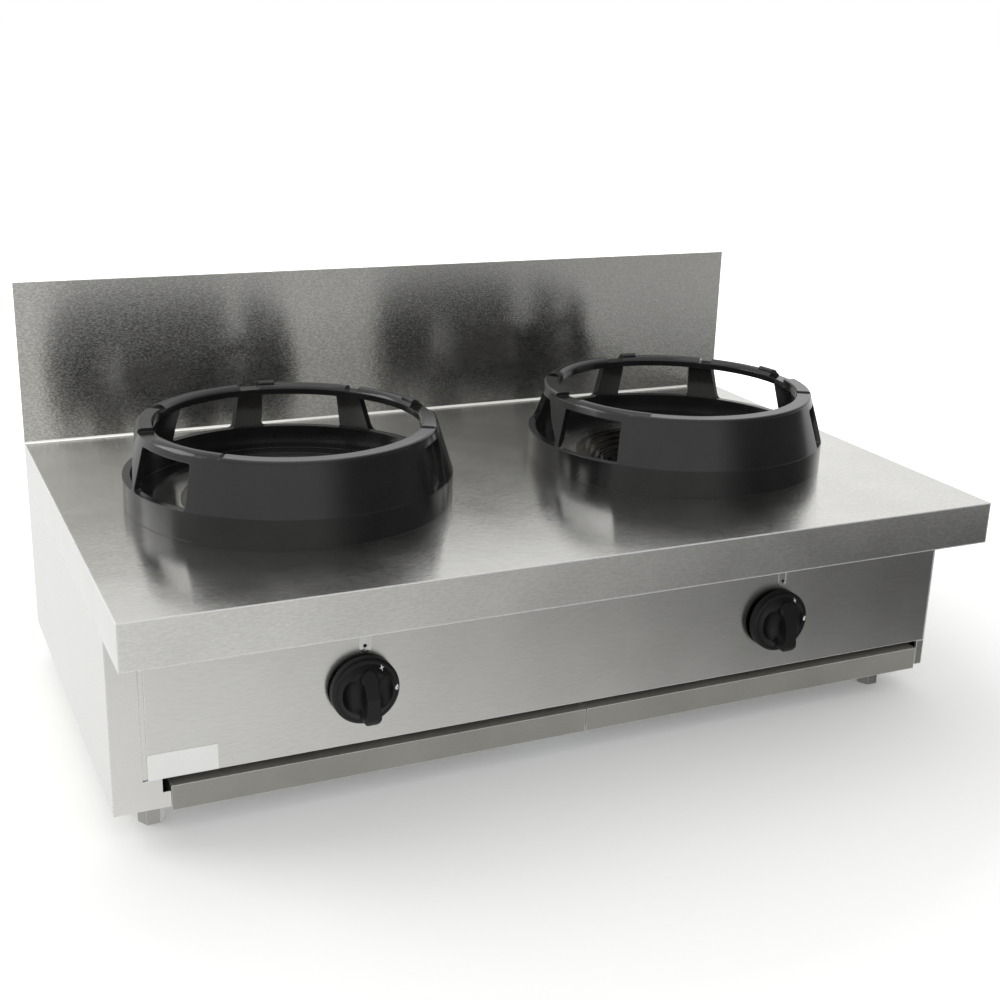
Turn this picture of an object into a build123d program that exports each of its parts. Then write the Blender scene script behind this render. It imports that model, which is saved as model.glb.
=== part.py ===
from build123d import *
import os
from math import cos, radians, sin, tan

os.makedirs("parts", exist_ok=True)

# Double wok range. Origin on the floor at the centre of the footprint, X to the right,
# Y to the back, Z up, millimetres. Azimuths on the wok rings are in degrees, 0 along +X
# and 90 to the back.

# ---------------------------------------------------------------- driving sizes
# Worktop with its turned-down lip, and the splashback along its rear edge
TOP_L = 1000.0
TOP_D = 600.0
TOP_T = 2.0
LIP_H = 48.6
LIP_RETURN = 14.0
SPLASH_H = 200.0
SPLASH_T = 2.0
SPLASH_FOOT = 16.0
OVERHANG = 80.0

# Body of folded sheet below the worktop
BODY_H = 189.4
SHEET_T = 1.2
JOGGLE_H = 6.0
TAB_H = 34.0
REAR_RECESS = 30.0
REAR_FLANGE_W = 22.0
FOOT_FLANGE_W = 60.0
LEFT_POST_W = 30.3
STILE_SHOW = 5.2
STILE_W = 30.0
LOW_POST_W = 57.5
LOW_POST_H = 17.2
MID_POST_W = 49.5
RIGHT_POST_W = 10.5
PANEL_EDGE = 1.5
PANEL_RETURN = 20.0
TRAY_BAY_H = 32.5
EDGE_GAP = 0.4

# Blank label plate in the lower left corner of the control panel
LABEL_W = 70.5
LABEL_H = 28.0
LABEL_T = 0.3

# Bottom frame of flat bar and the levelling feet
BAR_T = 3.0
BAR_W = 40.0
MID_BAR_W = 50.0
FOOT_IN = 45.0
FOOT_FROM_FRONT = 125.0
FOOT_FROM_BACK = 45.0
FOOT_FLATS = 24.0
FOOT_HEX_H = 29.7
FOOT_CHAMFER = 2.5
STEM_R = 5.0
STEM_H = 28.0
FOOT_NUT_FLATS = 17.0
FOOT_NUT_H = 6.0
SOCKET_R = 10.0
SOCKET_H = 12.0

# Clearances
SEAT_GAP = 0.3
RUN_FIT = 0.05
HOLE_FIT = 0.4
SCREW_FIT = 0.1
ROOT_DEPTH = 1.0

# Drip trays and their runners
FINGER_SLOT = 10.0
TRAY_FRONT_H = 27.5
TRAY_T = 1.0
TRAY_LEDGE = 17.0
TRAY_CHEEK_D = 60.0
TRAY_SIDE_GAP = 0.5
TRAY_MID_GAP = 1.2
PAN_INSET = 5.0
PAN_SOCKET_GAP = 7.9
PAN_D = 448.0
PAN_H = 14.0
RUNNER_T = 1.2
RUNNER_LEDGE = 17.0
RUNNER_LIP = 9.0
PAN_GUIDE_GAP = 1.0
PAN_TOP_GAP = 1.0

# Wok rings, cast iron
RING_FROM_SIDE = 250.0
RING_FROM_FRONT = 300.0
RING_R = 183.0
BAND_H = 32.0
BAND_WALL = 9.0
FLANGE_IN_R = 151.5
FLANGE_T = 4.0
RIM_R = 165.0
RIM_H = 88.5
RIM_IN_R = 148.0
RIM_UNDER_H = 78.5
RIM_ROUNDING = 0.7
CONE_WALL = 9.5
NOTCH_H = 85.5
RAIL_H = 90.8
PAD_H = 90.0
LUG_H = 94.0
LUG_INSET = 3.5
SHOULDER_H = 8.0
POST_RECESS = 2.5
WINDOW_CORNER_R = 3.5

# Stepped wells pressed into the two worktop holes
WELL_R = 112.0
WELL_FLANGE = 8.0
WELL_T = 1.2
WELL_STEPS = 4
WELL_STEP_W = 7.0
WELL_STEP_H = 5.0

# Burners, cast iron
CROWN_PROUD = 6.0
CROWN_R = 66.0
CROWN_SKIRT_H = 8.0
CROWN_STEP_W = 12.0
CROWN_STEP_H = 4.0
CROWN_STEPS = 3
CROWN_RIM_W = 8.4
PORTS_PER_STEP = 8
CROWN_WALL = 5.6
CROWN_SPIGOT_H = 8.0
PORT_R = 1.6
BOWL_R = 64.0
BOWL_H = 43.0
BOWL_WALL = 6.0
RISER_R = 30.0
RISER_FOOT = 25.0
TUBE_R = 22.0
TUBE_BORE_R = 18.0
TUBE_L = 95.0
SPIDER_T = 4.0
AIR_HOLE_R = 4.5
AIR_RING_R = 12.5
EAR_W = 24.0
EAR_T = 7.0
EAR_BEYOND = 10.0
SHUTTER_R = 21.5
SHUTTER_T = 1.5
SHUTTER_TAB = 8.0

# Angle rails that carry the burners
RAIL_Y = 95.0
RAIL_LEG = 30.0
RAIL_DROP = 25.0
RAIL_T = 3.0
BOLT_R = 3.0
BOLT_HEAD_FLATS = 10.0
BOLT_HEAD_H = 4.0
BOLT_NUT_H = 5.0
BOLT_PAST_NUT = 2.0

# Knobs, spindles and gas valves
KNOB_BELOW_TOP = 141.0
KNOB_LEFT_OFF_RING = 8.0
KNOB_RIGHT_OFF_RING = 18.0
KNOB_OFF_PANEL = 4.0
KNOB_R = 36.5
SKIRT_T = 11.0
DOME_R = 31.0
DOME_T = 6.0
DOME_TOP_R = 24.8
GRIP_W = 19.0
GRIP_PROUD = 21.0
GRIP_UP = 27.0
GRIP_DOWN = 32.0
GRIP_NOSE_R = 11.0
GRIP_ROOT = 2.0
GRIP_EDGE_R = 2.5
SCOOP_R = 24.0
SCOOP_SIDE_R = 11.0
SCOOP_BITE = 2.5
SCOOP_FLOOR = 2.0
KNOB_SHELL = 3.5
HUB_R = 9.0
PUSH_TRAVEL = 3.0
SPINDLE_R = 4.0
SPINDLE_FLAT = 1.0
SPINDLE_IN_KNOB = 20.0
COLLAR_R = 6.5
COLLAR_T = 1.5
WASHER_R = 8.0
WASHER_T = 1.5
SPRING_L = 10.5
SPRING_WALL = 1.5
PANEL_HOLE_R = 8.0
VALVE_BEHIND = 4.8
VALVE_R = 14.0
VALVE_CAP_T = 1.8
VALVE_BODY_L = 46.0
SPINDLE_SHORT = 11.5
VALVE_BORE_SHORT = 5.75
VALVE_NUT_FLATS = 17.0
VALVE_NUT_L = 10.0
BOSS_R = 4.5
BOSS_H = 3.5
BOSS_SPREAD = 8.0

# Sight frames above the knobs
SIGHT_LEFT_OFF_KNOB = 3.0
SIGHT_RIGHT_OFF_KNOB = 8.0
SIGHT_BELOW_TOP = 104.0
SIGHT_W = 13.0
SIGHT_H = 36.0
SIGHT_RIM = 2.0
SIGHT_T = 1.0
SIGHT_DEPTH = 3.0
SIGHT_HOLE_R = 2.1
SIGHT_HOLE_UP = 8.0

# Gas train
MANIFOLD_R = 10.65
MANIFOLD_BORE_R = 8.0
MANIFOLD_BELOW_KNOB = 38.0
MANIFOLD_BEHIND = 30.0
MANIFOLD_LEFT_IN = 190.0
MANIFOLD_RIGHT_IN = 70.0
MANIFOLD_BEND_R = 30.0
PLUG_FLATS = 24.0
PLUG_L = 12.0
CLAMP_HALF_W = 10.0
CLAMP_HALF_D = 18.5
CLAMP_H = 15.0
CLAMP_SPLIT = 1.0
CLAMP_SCREW_R = 2.0
CLAMP_SCREW_Y = 14.5
CLAMP_HEAD_R = 3.5
CLAMP_HEAD_H = 2.5
HANGER_X = 120.0
HANGER_T = 3.0
HANGER_ARM_H = 15.0
HANGER_RIM = 5.0
PIPE_R = 4.0
PIPE_BORE_R = 3.0
PIPE_BEND_R = 15.0
PIPE_ENTRY = 6.0
INJECTOR_FLATS = 14.0
INJECTOR_SHANK_R = 6.0
INJECTOR_PAST_SPIDER = 6.0
NOZZLE_R = 4.0
NOZZLE_L = 6.0
ORIFICE_R = 0.9
INLET_NECK_R = 12.0
INLET_NECK_SPARE = 0.4
INLET_R = 10.48
INLET_L = 20.0
INLET_SOCKET_R = 14.0
INLET_SOCKET_L = 20.0
INLET_FLANGE_R = 17.0
INLET_FLANGE_T = 3.0
INLET_NUT_FLATS = 30.0
INLET_NUT_H = 6.0

# Pilot burners and thermocouples
PILOT_DX = -37.0
PILOT_DY = -65.0
PILOT_R = 4.5
PILOT_BELOW_TOP = 4.0
PILOT_TAIL = 10.0
PILOT_HOOD_R = 3.0
PILOT_PLATE_T = 2.0
PILOT_PLATE_EDGE = 6.75
PROBE_DX = -22.0
PROBE_DY = -71.0
PROBE_R = 3.0
PROBE_COLLAR_R = 5.0
PROBE_COLLAR_H = 6.0
PILOT_PIPE_R = 2.0
LEAD_R = 1.3
PILOT_PIPE_RISE = 22.0
LEAD_RISE = 10.0
SMALL_BEND_R = 10.0
LEAD_BEND_R = 7.0

# Small fasteners
PANEL_STUD_FROM_SIDE = 100.0
PANEL_STUD_MID_X = 130.0
STUD_R = 2.5
STUD_L = 9.0
STUD_NUT_FLATS = 8.0
STUD_NUT_H = 4.0
REAR_SCREW_R = 1.9
REAR_SCREW_HEAD_R = 4.0
REAR_SCREW_HEAD_H = 2.4
REAR_SCREW_HEIGHTS = (45.0, 105.0, 165.0)
VENT_COUNT = 9
VENT_W = 6.0
VENT_H = 60.0
VENT_PITCH = 24.0

# Openings in the wall of a wok ring: azimuth of the left and right edge at the sill,
# then at the head, seen from the outside and counted anticlockwise
WINDOWS = (
    (190.5, 217.5, 188.5, 216.5),
    (142.0, 187.0, 142.0, 174.0),
    (97.0, 124.0, 97.0, 124.0),
    (54.0, 83.5, 54.0, 83.5),
    (7.5, 38.5, 7.5, 40.0),
    (-20.0, -7.5, -20.0, -7.5),
    (310.5, 320.5, 310.5, 328.0),
)
POSTS_SET_BACK = (-15.0, 152.0)
RIM_FRONT = (228.0, 328.0)
RAILS = ((193.0, 228.0), (96.0, 142.0), (47.0, 87.0), (5.0, 41.0))
PADS = ((148.0, 178.0), (328.0, 352.0))
LUGS = ((80.0, 87.0), (5.0, 14.0))

# ---------------------------------------------------------------- places that follow
BODY_Z = FOOT_HEX_H + SEAT_GAP + FOOT_NUT_H
LIP_Z = BODY_Z + BODY_H
TOP_Z = LIP_Z + LIP_H
UNDER_Z = TOP_Z - TOP_T
SIDE_X = TOP_L / 2
BACK_Y = TOP_D / 2
LIP_Y = -TOP_D / 2
FRONT_Y = LIP_Y + OVERHANG
BEHIND_Y = FRONT_Y + SHEET_T
REAR_Y = BACK_Y - REAR_RECESS
SPLASH_Y = BACK_Y - SPLASH_T
PANEL_Z = BODY_Z + TRAY_BAY_H
PANEL_X0 = -SIDE_X + LEFT_POST_W + STILE_SHOW
PANEL_X1 = SIDE_X - PANEL_EDGE
STILE_X1 = -SIDE_X + LEFT_POST_W + STILE_W
FRAME_Z = BODY_Z + SHEET_T + BAR_T
RING_Y = LIP_Y + RING_FROM_FRONT
KNOB_Z = TOP_Z - KNOB_BELOW_TOP
SIDES = {"left": -1, "right": 1}
RING_X = SIDE_X - RING_FROM_SIDE
RING_CENTRES = {"left": -RING_X, "right": RING_X}
KNOB_CENTRES = {"left": -RING_X + KNOB_LEFT_OFF_RING, "right": RING_X + KNOB_RIGHT_OFF_RING}
SIGHT_CENTRES = {
    "left": KNOB_CENTRES["left"] + SIGHT_LEFT_OFF_KNOB,
    "right": KNOB_CENTRES["right"] + SIGHT_RIGHT_OFF_KNOB,
}
PANEL_STUD_END_X = SIDE_X - PANEL_STUD_FROM_SIDE
PANEL_STUD_X = (-PANEL_STUD_END_X, -PANEL_STUD_MID_X, PANEL_STUD_MID_X, PANEL_STUD_END_X)

TRAY_TOP = PANEL_Z - FINGER_SLOT
TRAY_Z = TRAY_TOP - TRAY_FRONT_H
TRAY_ROOM = TOP_L - LOW_POST_W - RIGHT_POST_W
TRAY_FRONT_W = (TRAY_ROOM - 2 * TRAY_SIDE_GAP - TRAY_MID_GAP) / 2
TRAY_LEFT_X = -SIDE_X + LOW_POST_W + TRAY_SIDE_GAP
TRAY_X = {"left": TRAY_LEFT_X, "right": TRAY_LEFT_X + TRAY_FRONT_W + TRAY_MID_GAP}
PAN_RIGHT_END = SIDE_X - FOOT_IN - SOCKET_R - PAN_SOCKET_GAP
PAN_W = PAN_RIGHT_END - TRAY_X["right"] - PAN_INSET
LEDGE_Z = FRAME_Z + RUNNER_T
PAN_Z = LEDGE_Z + SEAT_GAP
PAN_TOP = PAN_Z + PAN_H

VALVE_Y = BEHIND_Y + VALVE_BEHIND
VALVE_END = VALVE_Y + VALVE_BODY_L
CHAMBER_Y = VALVE_Y + VALVE_CAP_T
COLLAR_Y = CHAMBER_Y + SEAT_GAP
WASHER_Y = COLLAR_Y + COLLAR_T + SEAT_GAP
SPRING_Y = WASHER_Y + WASHER_T
CHAMBER_END = SPRING_Y + SPRING_L
KNOB_BACK = FRONT_Y - KNOB_OFF_PANEL
MANIFOLD_Y = FRONT_Y + MANIFOLD_BEHIND
MANIFOLD_Z = KNOB_Z - MANIFOLD_BELOW_KNOB
MANIFOLD_LEFT_X = -SIDE_X + MANIFOLD_LEFT_IN
MANIFOLD_RIGHT_X = SIDE_X - MANIFOLD_RIGHT_IN
INLET_THREAD_Y = REAR_Y + SHEET_T + INLET_NUT_H + INLET_NECK_SPARE

CROWN_Z = TOP_Z + CROWN_PROUD - CROWN_SKIRT_H - CROWN_STEPS * CROWN_STEP_H
BOWL_Z = CROWN_Z - BOWL_H
SPIDER_Y = RING_Y - TUBE_L
SHUTTER_Y = SPIDER_Y - SEAT_GAP - SHUTTER_T
INJECTOR_Y = SHUTTER_Y - SEAT_GAP
INJECTOR_HEX_L = 20.0


# ---------------------------------------------------------------- plain shapes
def block(x0, x1, y0, y1, z0, z1):
    """Block between two corners."""
    centre = ((x0 + x1) / 2, (y0 + y1) / 2, (z0 + z1) / 2)
    return Pos(*centre) * Box(abs(x1 - x0), abs(y1 - y0), abs(z1 - z0))


def from_side(side, inner0, inner1, y0, y1, z0, z1):
    """Block whose X is measured inwards from the outer face of one side panel."""
    return block(side * (SIDE_X - inner0), side * (SIDE_X - inner1), y0, y1, z0, z1)


def rod_x(y, z, radius, x0, x1):
    return Pos((x0 + x1) / 2, y, z) * Rot(0, 90, 0) * Cylinder(radius, x1 - x0)


def rod_y(x, z, radius, y0, y1):
    return Pos(x, (y0 + y1) / 2, z) * Rot(90, 0, 0) * Cylinder(radius, y1 - y0)


def rod_z(x, y, radius, z0, z1):
    return Pos(x, y, (z0 + z1) / 2) * Cylinder(radius, z1 - z0)


def hexagon(flats, length):
    return extrude(RegularPolygon(flats / 2, 6, major_radius=False), amount=length)


def hex_x(y, z, flats, x0, x1):
    return Pos(x0, y, z) * Rot(0, 90, 0) * hexagon(flats, x1 - x0)


def hex_y(x, z, flats, y0, y1):
    return Pos(x, y1, z) * Rot(90, 0, 0) * hexagon(flats, y1 - y0)


def hex_z(x, y, flats, z0, z1):
    return Pos(x, y, z0) * hexagon(flats, z1 - z0)


def turned(points, x=0.0, y=0.0, z=0.0, start=0.0, sweep_angle=360.0):
    """Solid of revolution about a vertical axis, from (radius, height) points."""
    profile = make_face(Plane.XZ * Polyline(*points, close=True))
    return Pos(x, y, z) * Rot(0, 0, start) * revolve(profile, Axis.Z, sweep_angle)


def pipe(points, radius, bend, bore=0.0):
    """Round tube along straight runs joined by tangent bends."""
    path = FilletPolyline(*points, radius=bend)
    heading = Vector(*points[1]) - Vector(*points[0])
    start = Plane(origin=points[0], z_dir=heading)
    tube = sweep(start * Circle(radius), path)
    if bore:
        tube -= sweep(start * Circle(bore), path)
    return tube


def group(solids):
    """Separate solids that share one node."""
    return Compound(children=list(solids))


# ---------------------------------------------------------------- worktop and body
def well_hole_radius():
    return WELL_R + WELL_T + HOLE_FIT


def worktop():
    """One folded sheet: plate, front lip with its return, and two side lips."""
    sheet = block(-SIDE_X, SIDE_X, LIP_Y, SPLASH_Y, UNDER_Z, TOP_Z)
    sheet += block(-SIDE_X, SIDE_X, LIP_Y, LIP_Y + TOP_T, LIP_Z, TOP_Z)
    sheet += block(-SIDE_X, SIDE_X, LIP_Y, LIP_Y + LIP_RETURN, LIP_Z, LIP_Z + TOP_T)
    for side in SIDES.values():
        sheet += from_side(side, 0, TOP_T, LIP_Y, SPLASH_Y, LIP_Z, TOP_Z)
    for x in RING_CENTRES.values():
        sheet -= rod_z(x, RING_Y, well_hole_radius(), UNDER_Z - TOP_T, TOP_Z + TOP_T)
    return sheet


def splashback():
    """Upright sheet with a skirt behind the body and a foot under the worktop."""
    sheet = block(-SIDE_X, SIDE_X, SPLASH_Y, BACK_Y, LIP_Z, TOP_Z + SPLASH_H)
    foot_x = SIDE_X - TOP_T
    sheet += block(-foot_x, foot_x, SPLASH_Y - SPLASH_FOOT, SPLASH_Y, UNDER_Z - SPLASH_T, UNDER_Z)
    return sheet


def foot_places(side):
    x = side * (SIDE_X - FOOT_IN)
    return ((x, LIP_Y + FOOT_FROM_FRONT), (x, BACK_Y - FOOT_FROM_BACK))


def side_sheet(side):
    """What both side panels share: sheet, tab behind the lip, foot flange, rear flange."""
    step_z = LIP_Z - JOGGLE_H
    tab_d = TOP_T + SHEET_T
    sheet = from_side(side, 0, SHEET_T, FRONT_Y, BACK_Y, BODY_Z, LIP_Z - EDGE_GAP)
    sheet += from_side(side, 0, tab_d, BEHIND_Y + SHEET_T, REAR_Y, step_z, step_z + SHEET_T)
    sheet += from_side(side, TOP_T, tab_d, BEHIND_Y + SHEET_T, REAR_Y, step_z, LIP_Z + TAB_H)
    sheet += from_side(side, 0, FOOT_FLANGE_W, BEHIND_Y + SHEET_T, REAR_Y, BODY_Z, BODY_Z + SHEET_T)
    sheet += from_side(side, 0, REAR_FLANGE_W, REAR_Y - SHEET_T, REAR_Y, BODY_Z, step_z)
    for x, y in foot_places(side):
        sheet -= rod_z(x, y, STEM_R + HOLE_FIT, BODY_Z - SHEET_T, FRAME_Z)
    for height in REAR_SCREW_HEIGHTS:
        x = side * (SIDE_X - REAR_FLANGE_W / 2)
        sheet -= rod_y(x, BODY_Z + height, REAR_SCREW_R + SCREW_FIT, REAR_Y - 2 * SHEET_T, REAR_Y)
    return sheet


def left_side_panel():
    """Side panel whose front return widens in two steps beside the tray."""
    sheet = side_sheet(SIDES["left"])
    side = SIDES["left"]
    low_z = BODY_Z + LOW_POST_H
    sheet += from_side(side, 0, LOW_POST_W, FRONT_Y, BEHIND_Y, BODY_Z, low_z)
    sheet += from_side(side, 0, MID_POST_W, FRONT_Y, BEHIND_Y, low_z, PANEL_Z)
    sheet += from_side(side, 0, LEFT_POST_W, FRONT_Y, BEHIND_Y, PANEL_Z, LIP_Z - EDGE_GAP)
    sheet += from_side(side, TOP_T, LEFT_POST_W, FRONT_Y, BEHIND_Y, LIP_Z - EDGE_GAP, UNDER_Z)
    stile_d = LEFT_POST_W - SHEET_T
    sheet += from_side(side, stile_d, LEFT_POST_W + STILE_W, BEHIND_Y, BEHIND_Y + SHEET_T,
                       PANEL_Z + EDGE_GAP, UNDER_Z)
    return sheet


def right_side_panel():
    """Side panel with a narrow front return that runs on behind the control panel."""
    side = SIDES["right"]
    sheet = side_sheet(side)
    sheet += from_side(side, 0, RIGHT_POST_W, FRONT_Y, BEHIND_Y, BODY_Z, PANEL_Z - EDGE_GAP)
    sheet += from_side(side, 0, RIGHT_POST_W, BEHIND_Y, BEHIND_Y + SHEET_T, BODY_Z, LIP_Z - EDGE_GAP)
    return sheet


def rear_panel():
    """Flat rear sheet with a row of vents and a hole for the gas inlet."""
    half = SIDE_X - TOP_T - SHEET_T - HOLE_FIT
    sheet = block(-half, half, REAR_Y, REAR_Y + SHEET_T, BODY_Z, UNDER_Z - EDGE_GAP)
    for side in SIDES.values():
        for height in REAR_SCREW_HEIGHTS:
            x = side * (SIDE_X - REAR_FLANGE_W / 2)
            sheet -= rod_y(x, BODY_Z + height, REAR_SCREW_R + SCREW_FIT, REAR_Y, REAR_Y + SHEET_T)
    vent_z = (BODY_Z + LIP_Z) / 2
    for i in range(VENT_COUNT):
        x = (i - (VENT_COUNT - 1) / 2) * VENT_PITCH
        slot = Pos(x, REAR_Y + SHEET_T, vent_z) * Rot(90, 0, 0) * SlotOverall(VENT_H, VENT_W, 90)
        sheet -= extrude(slot, amount=SHEET_T)
    sheet -= rod_y(MANIFOLD_RIGHT_X, MANIFOLD_Z, INLET_NECK_R + HOLE_FIT, REAR_Y, REAR_Y + SHEET_T)
    return sheet


def rear_panel_screws():
    screws = []
    for side in SIDES.values():
        for height in REAR_SCREW_HEIGHTS:
            x = side * (SIDE_X - REAR_FLANGE_W / 2)
            z = BODY_Z + height
            head_y = REAR_Y + SHEET_T
            shank = rod_y(x, z, REAR_SCREW_R, REAR_Y - 2 * SHEET_T, head_y)
            screws.append(shank + rod_y(x, z, REAR_SCREW_HEAD_R, head_y, head_y + REAR_SCREW_HEAD_H))
    return group(screws)


def control_panel():
    """Front sheet between the posts, hung under the worktop, with knob and sight holes."""
    sheet = block(PANEL_X0, PANEL_X1, FRONT_Y, BEHIND_Y, PANEL_Z, UNDER_Z)
    left = STILE_X1 + HOLE_FIT
    right = SIDE_X - RIGHT_POST_W - HOLE_FIT
    back = BEHIND_Y + PANEL_RETURN
    sheet -= block(SIDE_X - TOP_T - EDGE_GAP, PANEL_X1, FRONT_Y, BEHIND_Y, LIP_Z - EDGE_GAP, UNDER_Z)
    sheet += block(left, right, BEHIND_Y, back, PANEL_Z, PANEL_Z + SHEET_T)
    sheet += block(left, right, BEHIND_Y, back, UNDER_Z - SHEET_T, UNDER_Z)
    for x in PANEL_STUD_X:
        sheet -= rod_z(x, panel_stud_y(), STUD_R + SCREW_FIT, UNDER_Z - SHEET_T, UNDER_Z)
    for x in KNOB_CENTRES.values():
        sheet -= rod_y(x, KNOB_Z, PANEL_HOLE_R, FRONT_Y, BEHIND_Y)
    for x in SIGHT_CENTRES.values():
        sheet -= sight_slot(x, SIGHT_W - 2 * SIGHT_RIM, SIGHT_H - 2 * SIGHT_RIM, FRONT_Y, BEHIND_Y)
    return sheet


def panel_stud_y():
    return BEHIND_Y + PANEL_RETURN / 2


def control_panel_studs():
    """Weld studs under the worktop with the nuts that hold the panel's upper return."""
    studs = []
    for x in PANEL_STUD_X:
        nut_z = UNDER_Z - SHEET_T
        stud = rod_z(x, panel_stud_y(), STUD_R, UNDER_Z - STUD_L, UNDER_Z)
        studs.append(stud + hex_z(x, panel_stud_y(), STUD_NUT_FLATS, nut_z - STUD_NUT_H, nut_z))
    return group(studs)


def label_plate():
    """Blank label, flush with the lower left corner of the control panel."""
    return block(PANEL_X0, PANEL_X0 + LABEL_W, FRONT_Y - LABEL_T, FRONT_Y, PANEL_Z, PANEL_Z + LABEL_H)


def sight_slot(x, width, height, y0, y1):
    """Upright obround prism whose middle is that of the sight frame."""
    z = TOP_Z - SIGHT_BELOW_TOP + SIGHT_H / 2
    outline = Pos(x, y1, z) * Rot(90, 0, 0) * SlotOverall(height, width, 90)
    return extrude(outline, amount=y1 - y0)


def sight_frame(x):
    """Obround pressed frame with a small sight hole near its lower end."""
    frame = sight_slot(x, SIGHT_W, SIGHT_H, FRONT_Y - SIGHT_T, FRONT_Y)
    inner_w = SIGHT_W - 2 * SIGHT_RIM - HOLE_FIT
    inner_h = SIGHT_H - 2 * SIGHT_RIM - HOLE_FIT
    frame += sight_slot(x, inner_w, inner_h, FRONT_Y, FRONT_Y + SIGHT_DEPTH)
    frame -= sight_slot(x, inner_w - SIGHT_RIM, inner_h - SIGHT_RIM, FRONT_Y - SIGHT_T, FRONT_Y)
    hole_z = TOP_Z - SIGHT_BELOW_TOP + SIGHT_HOLE_UP
    frame -= rod_y(x, hole_z, SIGHT_HOLE_R, FRONT_Y - SIGHT_T, FRONT_Y + SIGHT_DEPTH)
    return frame


# ---------------------------------------------------------------- bottom frame and feet
def base_frame():
    """Flat bars welded edge to edge on the foot flanges, with one bay under each tray."""
    bar_z = BODY_Z + SHEET_T
    side_x = SIDE_X - SHEET_T
    front = BEHIND_Y + SHEET_T
    back = REAR_Y - SHEET_T
    bay_x = SIDE_X - FOOT_FLANGE_W
    bars = [
        block(-bay_x, bay_x, front, front + BAR_W, bar_z, FRAME_Z),
        block(-bay_x, bay_x, back - BAR_W, back, bar_z, FRAME_Z),
        block(-MID_BAR_W / 2, MID_BAR_W / 2, front + BAR_W, back - BAR_W, bar_z, FRAME_Z),
    ]
    for side in SIDES.values():
        side_bar = block(side * bay_x, side * side_x, front, back, bar_z, FRAME_Z)
        for x, y in foot_places(side):
            side_bar -= rod_z(x, y, STEM_R + HOLE_FIT, bar_z, FRAME_Z)
        bars.append(side_bar)
    return group(bars)


def foot_sockets():
    """Threaded bushes welded on the bottom frame."""
    sockets = []
    for side in SIDES.values():
        for x, y in foot_places(side):
            bush = rod_z(x, y, SOCKET_R, FRAME_Z, FRAME_Z + SOCKET_H)
            sockets.append(bush - rod_z(x, y, STEM_R + RUN_FIT, FRAME_Z, FRAME_Z + SOCKET_H))
    return group(sockets)


def foot_lock_nuts():
    nuts = []
    for side in SIDES.values():
        for x, y in foot_places(side):
            nut = hex_z(x, y, FOOT_NUT_FLATS, BODY_Z - FOOT_NUT_H, BODY_Z)
            nuts.append(nut - rod_z(x, y, STEM_R + RUN_FIT, BODY_Z - FOOT_NUT_H, BODY_Z))
    return group(nuts)


def foot(x, y):
    """Levelling foot: hexagon with a chamfered crown, and its threaded stem."""
    crown_r = FOOT_FLATS / cos(radians(30)) / 2
    envelope = turned(((0, 0), (crown_r, 0), (crown_r, FOOT_HEX_H - FOOT_CHAMFER),
                       (FOOT_FLATS / 2 - FOOT_CHAMFER / 2, FOOT_HEX_H), (0, FOOT_HEX_H)), x, y)
    body = hex_z(x, y, FOOT_FLATS, 0, FOOT_HEX_H) & envelope
    return body + rod_z(x, y, STEM_R, FOOT_HEX_H - ROOT_DEPTH, FOOT_HEX_H + STEM_H)


# ---------------------------------------------------------------- drip trays
def pan_x(name):
    return TRAY_X[name] + PAN_INSET


def drip_tray(name):
    """Folded tray: front with a finger ledge and end cheeks, and a shallow pan behind it."""
    x0 = TRAY_X[name]
    x1 = x0 + TRAY_FRONT_W
    inside_y = FRONT_Y + TRAY_T
    tray = block(x0, x1, FRONT_Y, inside_y, TRAY_Z, TRAY_TOP)
    tray += block(x0, x1, FRONT_Y, FRONT_Y + TRAY_LEDGE, TRAY_TOP - TRAY_T, TRAY_TOP)
    for cheek_x in (x0, x1 - TRAY_T):
        tray += block(cheek_x, cheek_x + TRAY_T, FRONT_Y, FRONT_Y + TRAY_CHEEK_D, PAN_Z, TRAY_TOP)
    pan0 = pan_x(name)
    pan1 = pan0 + PAN_W
    pan = block(pan0, pan1, FRONT_Y, FRONT_Y + PAN_D, PAN_Z, PAN_TOP)
    pan -= block(pan0 + TRAY_T, pan1 - TRAY_T, inside_y, FRONT_Y + PAN_D - TRAY_T,
                 PAN_Z + TRAY_T, PAN_TOP)
    return tray + pan


def runner_arm(wall_x, towards):
    """Channel beside a pan: ledge below it, guide wall and a lip that holds it down."""
    outer = wall_x - towards * RUNNER_T
    front = BEHIND_Y + SHEET_T + TRAY_LEDGE
    back = REAR_Y - SHEET_T
    lip_z = PAN_TOP + PAN_TOP_GAP
    arm = block(outer, wall_x + towards * RUNNER_LEDGE, front, back, FRAME_Z, LEDGE_Z)
    arm += block(outer, wall_x, front, back, FRAME_Z, lip_z + RUNNER_T)
    arm += block(outer, wall_x + towards * RUNNER_LIP, front, back, lip_z, lip_z + RUNNER_T)
    return arm


def tray_runner_left():
    return runner_arm(pan_x("left") - PAN_GUIDE_GAP, 1)


def tray_runner_right():
    return runner_arm(pan_x("right") + PAN_W + PAN_GUIDE_GAP, -1)


def tray_runner_centre():
    """Double channel between the two pans."""
    left_wall = pan_x("left") + PAN_W + PAN_GUIDE_GAP
    right_wall = pan_x("right") - PAN_GUIDE_GAP
    front = BEHIND_Y + SHEET_T + TRAY_LEDGE
    runner = runner_arm(left_wall, -1) + runner_arm(right_wall, 1)
    return runner + block(left_wall, right_wall, front, REAR_Y - SHEET_T, FRAME_Z, LEDGE_Z)


# ---------------------------------------------------------------- wok rings
def cone_r(height):
    """Outer radius of the ring's wall at a height above the worktop."""
    return RING_R - max(0.0, height - BAND_H) * (RING_R - RIM_R) / (RIM_H - BAND_H)


def arc_of(start, end):
    return (end - start) % 360


def ring_turned(points, x, start=0.0, sweep_angle=360.0):
    return turned(points, x, RING_Y, TOP_Z, start, sweep_angle)


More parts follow.
